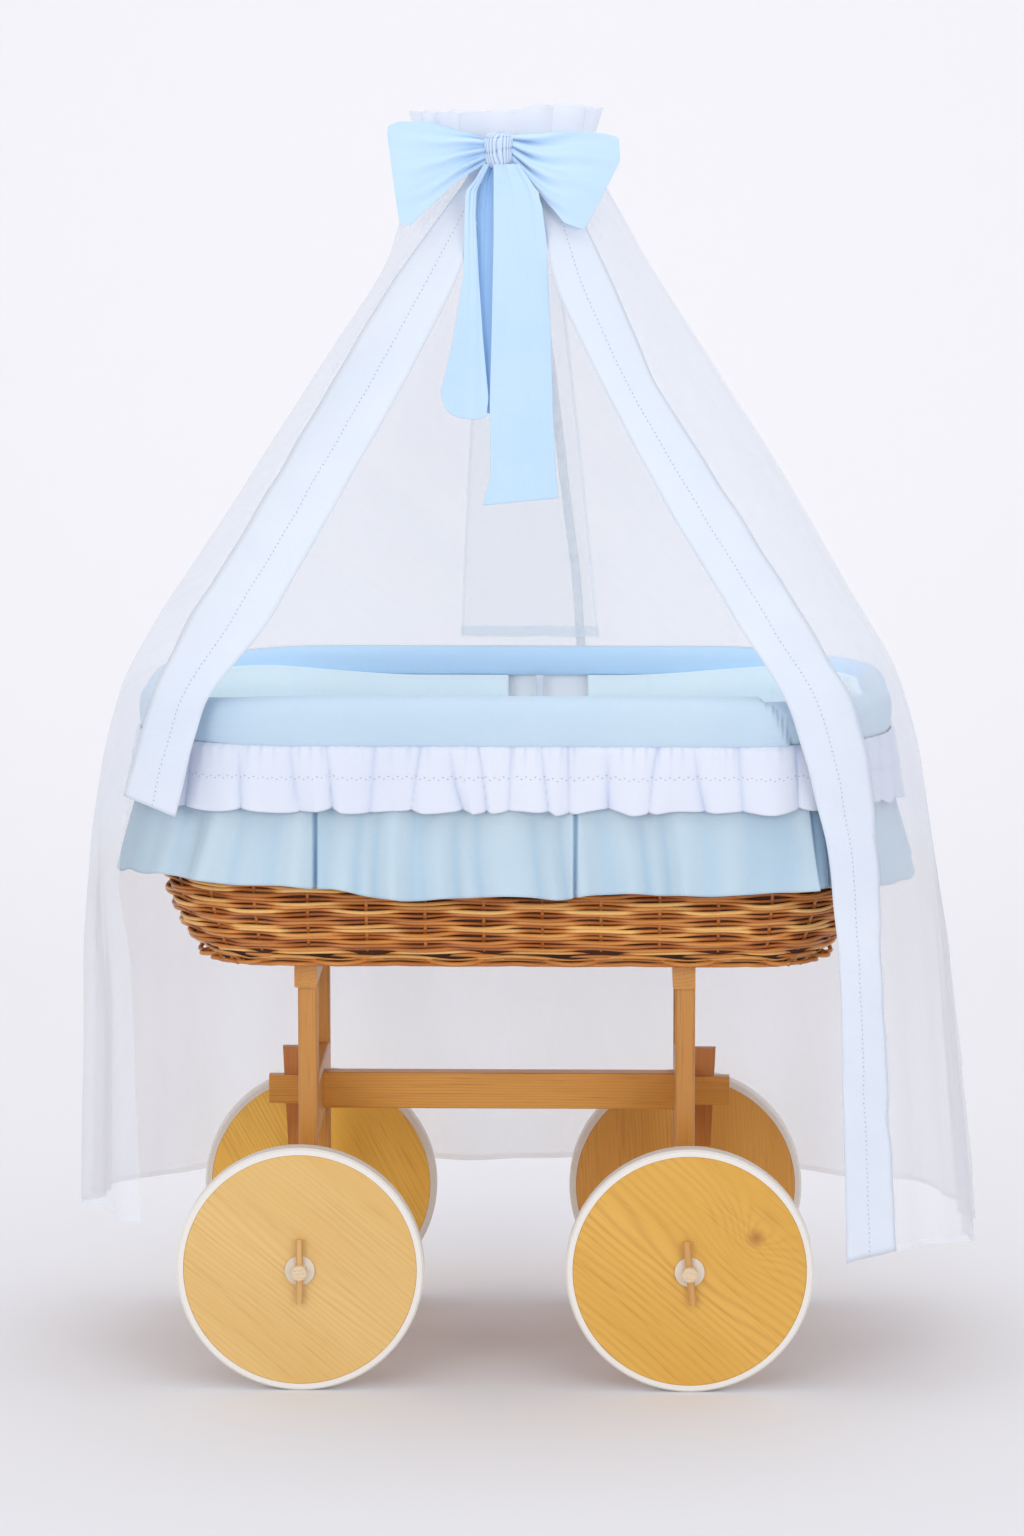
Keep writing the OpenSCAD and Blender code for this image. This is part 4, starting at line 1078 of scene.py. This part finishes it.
def bow_knot():
    """A smocked wrap: upright ribs gathered over the knot, crossed by rows of stitches."""
    low, high = box("bow_knot")
    middle, half = (low + high) / 2, (high - low) / 2
    rows, cols = 110, 240
    lat = np.linspace(-math.pi / 2, math.pi / 2, rows)[:, None]
    lon = np.linspace(0, TAU, cols, endpoint=False)[None]
    e = 0.7
    ring = np.cos(lat) ** e
    waist = 0.98 - 0.08 * np.cos(2 * lat) ** 2 + 0.13 * np.sin(lat)
    ribs = np.abs(np.sin(12 * lon + 0.9 * np.sin(3 * lat + 1))) ** 0.7
    rows_of_stitch = np.exp(-((np.sin(4.5 * lat + 0.25 * np.sin(2 * lon))) / 0.22) ** 2)
    crinkle = 1 + 0.14 * (ribs - 0.6) * (1 - 0.8 * rows_of_stitch) - 0.035 * rows_of_stitch
    crinkle = crinkle + 0.02 * np.sin(5 * lon + 7 * lat)
    x = half[0] * ring * blunt(np.cos(lon), e) * crinkle * waist
    y = half[1] * ring * blunt(np.sin(lon), e) * crinkle
    z = half[2] * blunt(np.sin(lat), e) * (1 + 0.03 * np.sin(12 * lon))
    points = np.stack([x, y, z], -1) + middle
    made = piece("bow_knot_wrap", points, grid_faces(rows, cols, True), MAT["lace"], "knot_lace")
    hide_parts("bow_knot")
    # Painted shade between the ribs and along the stitched rows.
    paint_shading(made, 0.9 * np.exp(-((ribs + 0 * lat) / 0.35) ** 2) + 0.7 * rows_of_stitch * (ribs < 0.75))


def bow_tail(name, edges, y0, seed, lean=0.0, folds=0.0026, slant=0.0, dip=0.0, material="bow"):
    """A ribbon tail given by height, left edge and right edge, with soft lengthwise folds."""
    rows, cols = 90, 30
    table = np.array(edges)[::-1]
    w = np.linspace(0, 1, cols)[None]
    drop = np.linspace(0, 1, rows)[:, None]
    start, end = table[-1, 0], table[0, 0]
    nominal = start + (end - start) * drop
    left = np.interp(nominal, table[:, 0], table[:, 1])
    right = np.interp(nominal, table[:, 0], table[:, 2])
    x = left + (right - left) * w
    corner = np.abs(2 * w - 1) ** 3
    z = nominal + (slant * (w - 0.5) + dip * corner) * smooth(drop, 0.75, 1)
    y = y0 + folds * ripple(w * 0.8 + 0.1 * drop, 1, (1, 2), seed) * (0.35 + 0.65 * drop)
    y = y + 0.0012 * ripple(w + 0.25 * drop, 1, (3, 5), seed + 1) * np.exp(-3 * drop) + lean * (w - 0.5)
    points = np.stack([x, y, z], -1)
    made = cloth_grid(name, points, MAT[material], "bow_cotton", thick=COTTON)
    made.modifiers.new("round", "SUBSURF").render_levels = 1
    return made


def bow():
    bow_knot()
    bow_loop(-1, "bow_left_loop", "bow_loop_left",
             [(0, 1.254), (0.3, 1.263), (0.6, 1.272), (0.9, 1.272), (1, 1.268)],
             [(0, 1.232), (0.3, 1.214), (0.6, 1.190), (0.9, 1.168), (1, 1.167)],
             [(0, 0.86), (0.06, 0.885), (0.5, 0.945), (0.92, 1.0), (1, 0.985)])
    bow_loop(1, "bow_right_loop", "bow_loop_right",
             [(0, 1.258), (0.3, 1.260), (0.6, 1.263), (0.9, 1.260), (1, 1.257)],
             [(0, 1.237), (0.19, 1.213), (0.4, 1.190), (0.65, 1.171), (1, 1.164)],
             [(0, 0.67), (0.04, 0.70), (0.4, 0.86), (0.74, 1.0), (0.97, 0.99), (1, 0.965)])
    tail_low, tail_high = box("bow_tail_left")
    left = bow_tail("bow_left_tail", [
        (1.230, -0.031, -0.026), (1.213, -0.041, -0.034), (1.203, -0.050, -0.039), (1.180, -0.051, -0.040),
        (1.120, -0.052, -0.037), (1.060, -0.062, -0.033), (0.992, -0.076, -0.027), (0.973, -0.070, -0.029),
    ], tail_low[1] - 0.0035, 81, lean=0.002, folds=0.0014, slant=-0.006, dip=0.006)
    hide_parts("bow_tail_left")
    # The folded-back part of the left tail takes the darker copy of the bow's cotton: painted shade.
    bow_tail("bow_left_tail_inside", [
        (1.230, -0.028, -0.016), (1.213, -0.037, -0.018), (1.180, -0.041, -0.019), (1.120, -0.040, -0.020),
        (1.060, -0.037, -0.021), (0.992, -0.032, -0.022), (0.978, -0.032, -0.023),
    ], tail_high[1] + 0.0005, 83, lean=-0.006, folds=0.0012, slant=-0.003, dip=0.003,
        material="bow_shade_copy")
    tail_low, tail_high = box("bow_tail_right")
    right = bow_tail("bow_right_tail", [
        (1.230, -0.022, 0.004), (1.204, -0.022, 0.021), (1.188, -0.022, 0.027), (1.157, -0.022, 0.031),
        (1.060, -0.024, 0.036), (0.990, -0.026, 0.038), (0.920, -0.025, 0.041), (0.889, -0.033, 0.044),
    ], (tail_low[1] + tail_high[1]) / 2, 82, slant=0.008)
    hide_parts("bow_tail_right")


ruffle()
bow()


# ---------- stage, light and camera ----------

def stage():
    """A pale floor that curves up into a backdrop, which is clear when seen from behind."""
    front, bend_y, bend_r, height, half_width = -8, 2.2, 1.6, 7, 7
    profile = [(front, 0), (bend_y, 0)]
    for a in np.linspace(0.1, math.pi / 2, 14):
        profile.append((bend_y + bend_r * math.sin(a), bend_r - bend_r * math.cos(a)))
    profile.append((bend_y + bend_r, height))
    verts = [(x, y, z) for y, z in profile for x in (-half_width, half_width)]
    faces = [(2 * k, 2 * k + 1, 2 * k + 3, 2 * k + 2) for k in range(len(profile) - 1)]
    mesh = bpy.data.meshes.new("backdrop")
    mesh.from_pydata(verts, [], faces)
    mesh.polygons.foreach_set("use_smooth", np.ones(len(mesh.polygons), bool))
    backdrop = bpy.data.objects.new("backdrop", mesh)
    bpy.context.scene.collection.objects.link(backdrop)
    paper = Shader("backdrop_paper", Base_Color=linear(230, 229, 232), Roughness=0.9)
    behind = paper.node("ShaderNodeNewGeometry").outputs["Backfacing"]
    mesh.materials.append(paper.set(Alpha=paper.math("SUBTRACT", 1.0, behind)))


def area_light(name, place, aim, size, power):
    data = bpy.data.lights.new(name, "AREA")
    data.shape = "RECTANGLE"
    data.size, data.size_y = size
    data.energy = power
    light = bpy.data.objects.new(name, data)
    bpy.context.scene.collection.objects.link(light)
    light.location = place
    light.rotation_euler = (Vector(aim) - Vector(place)).to_track_quat("-Z", "Y").to_euler()


def lighting():
    world = bpy.data.worlds.new("studio")
    world.use_nodes = True
    background = world.node_tree.nodes["Background"]
    background.inputs["Color"].default_value = (0.95, 0.965, 1.0, 1)
    background.inputs["Strength"].default_value = 0.76
    bpy.context.scene.world = world
    area_light("overhead", (0, -0.2, 4.4), (0, 0, 0.5), (4.5, 3.5), 40)
    area_light("front_left", (-2.8, -5.6, 2.2), (0, 0, 0.7), (2.6, 2.6), 76)
    area_light("front_right", (3.0, -5.4, 2.1), (0, 0, 0.7), (2.6, 2.6), 62)
    area_light("backdrop_wash", (0, 1.4, 3.6), (0, 3.8, 1.6), (6, 1.5), 36)


def camera():
    data = bpy.data.cameras.new("camera")
    data.lens = 131.0
    data.sensor_width = 36
    data.clip_end = 60
    cam = bpy.data.objects.new("camera", data)
    bpy.context.scene.collection.objects.link(cam)
    cam.location = (0.109, -5.713, 1.429)
    cam.rotation_euler = (math.radians(90 - 8.19), 0, math.radians(1.14))
    bpy.context.scene.camera = cam


stage()
lighting()
camera()
bpy.context.scene.view_settings.view_transform = "Standard"
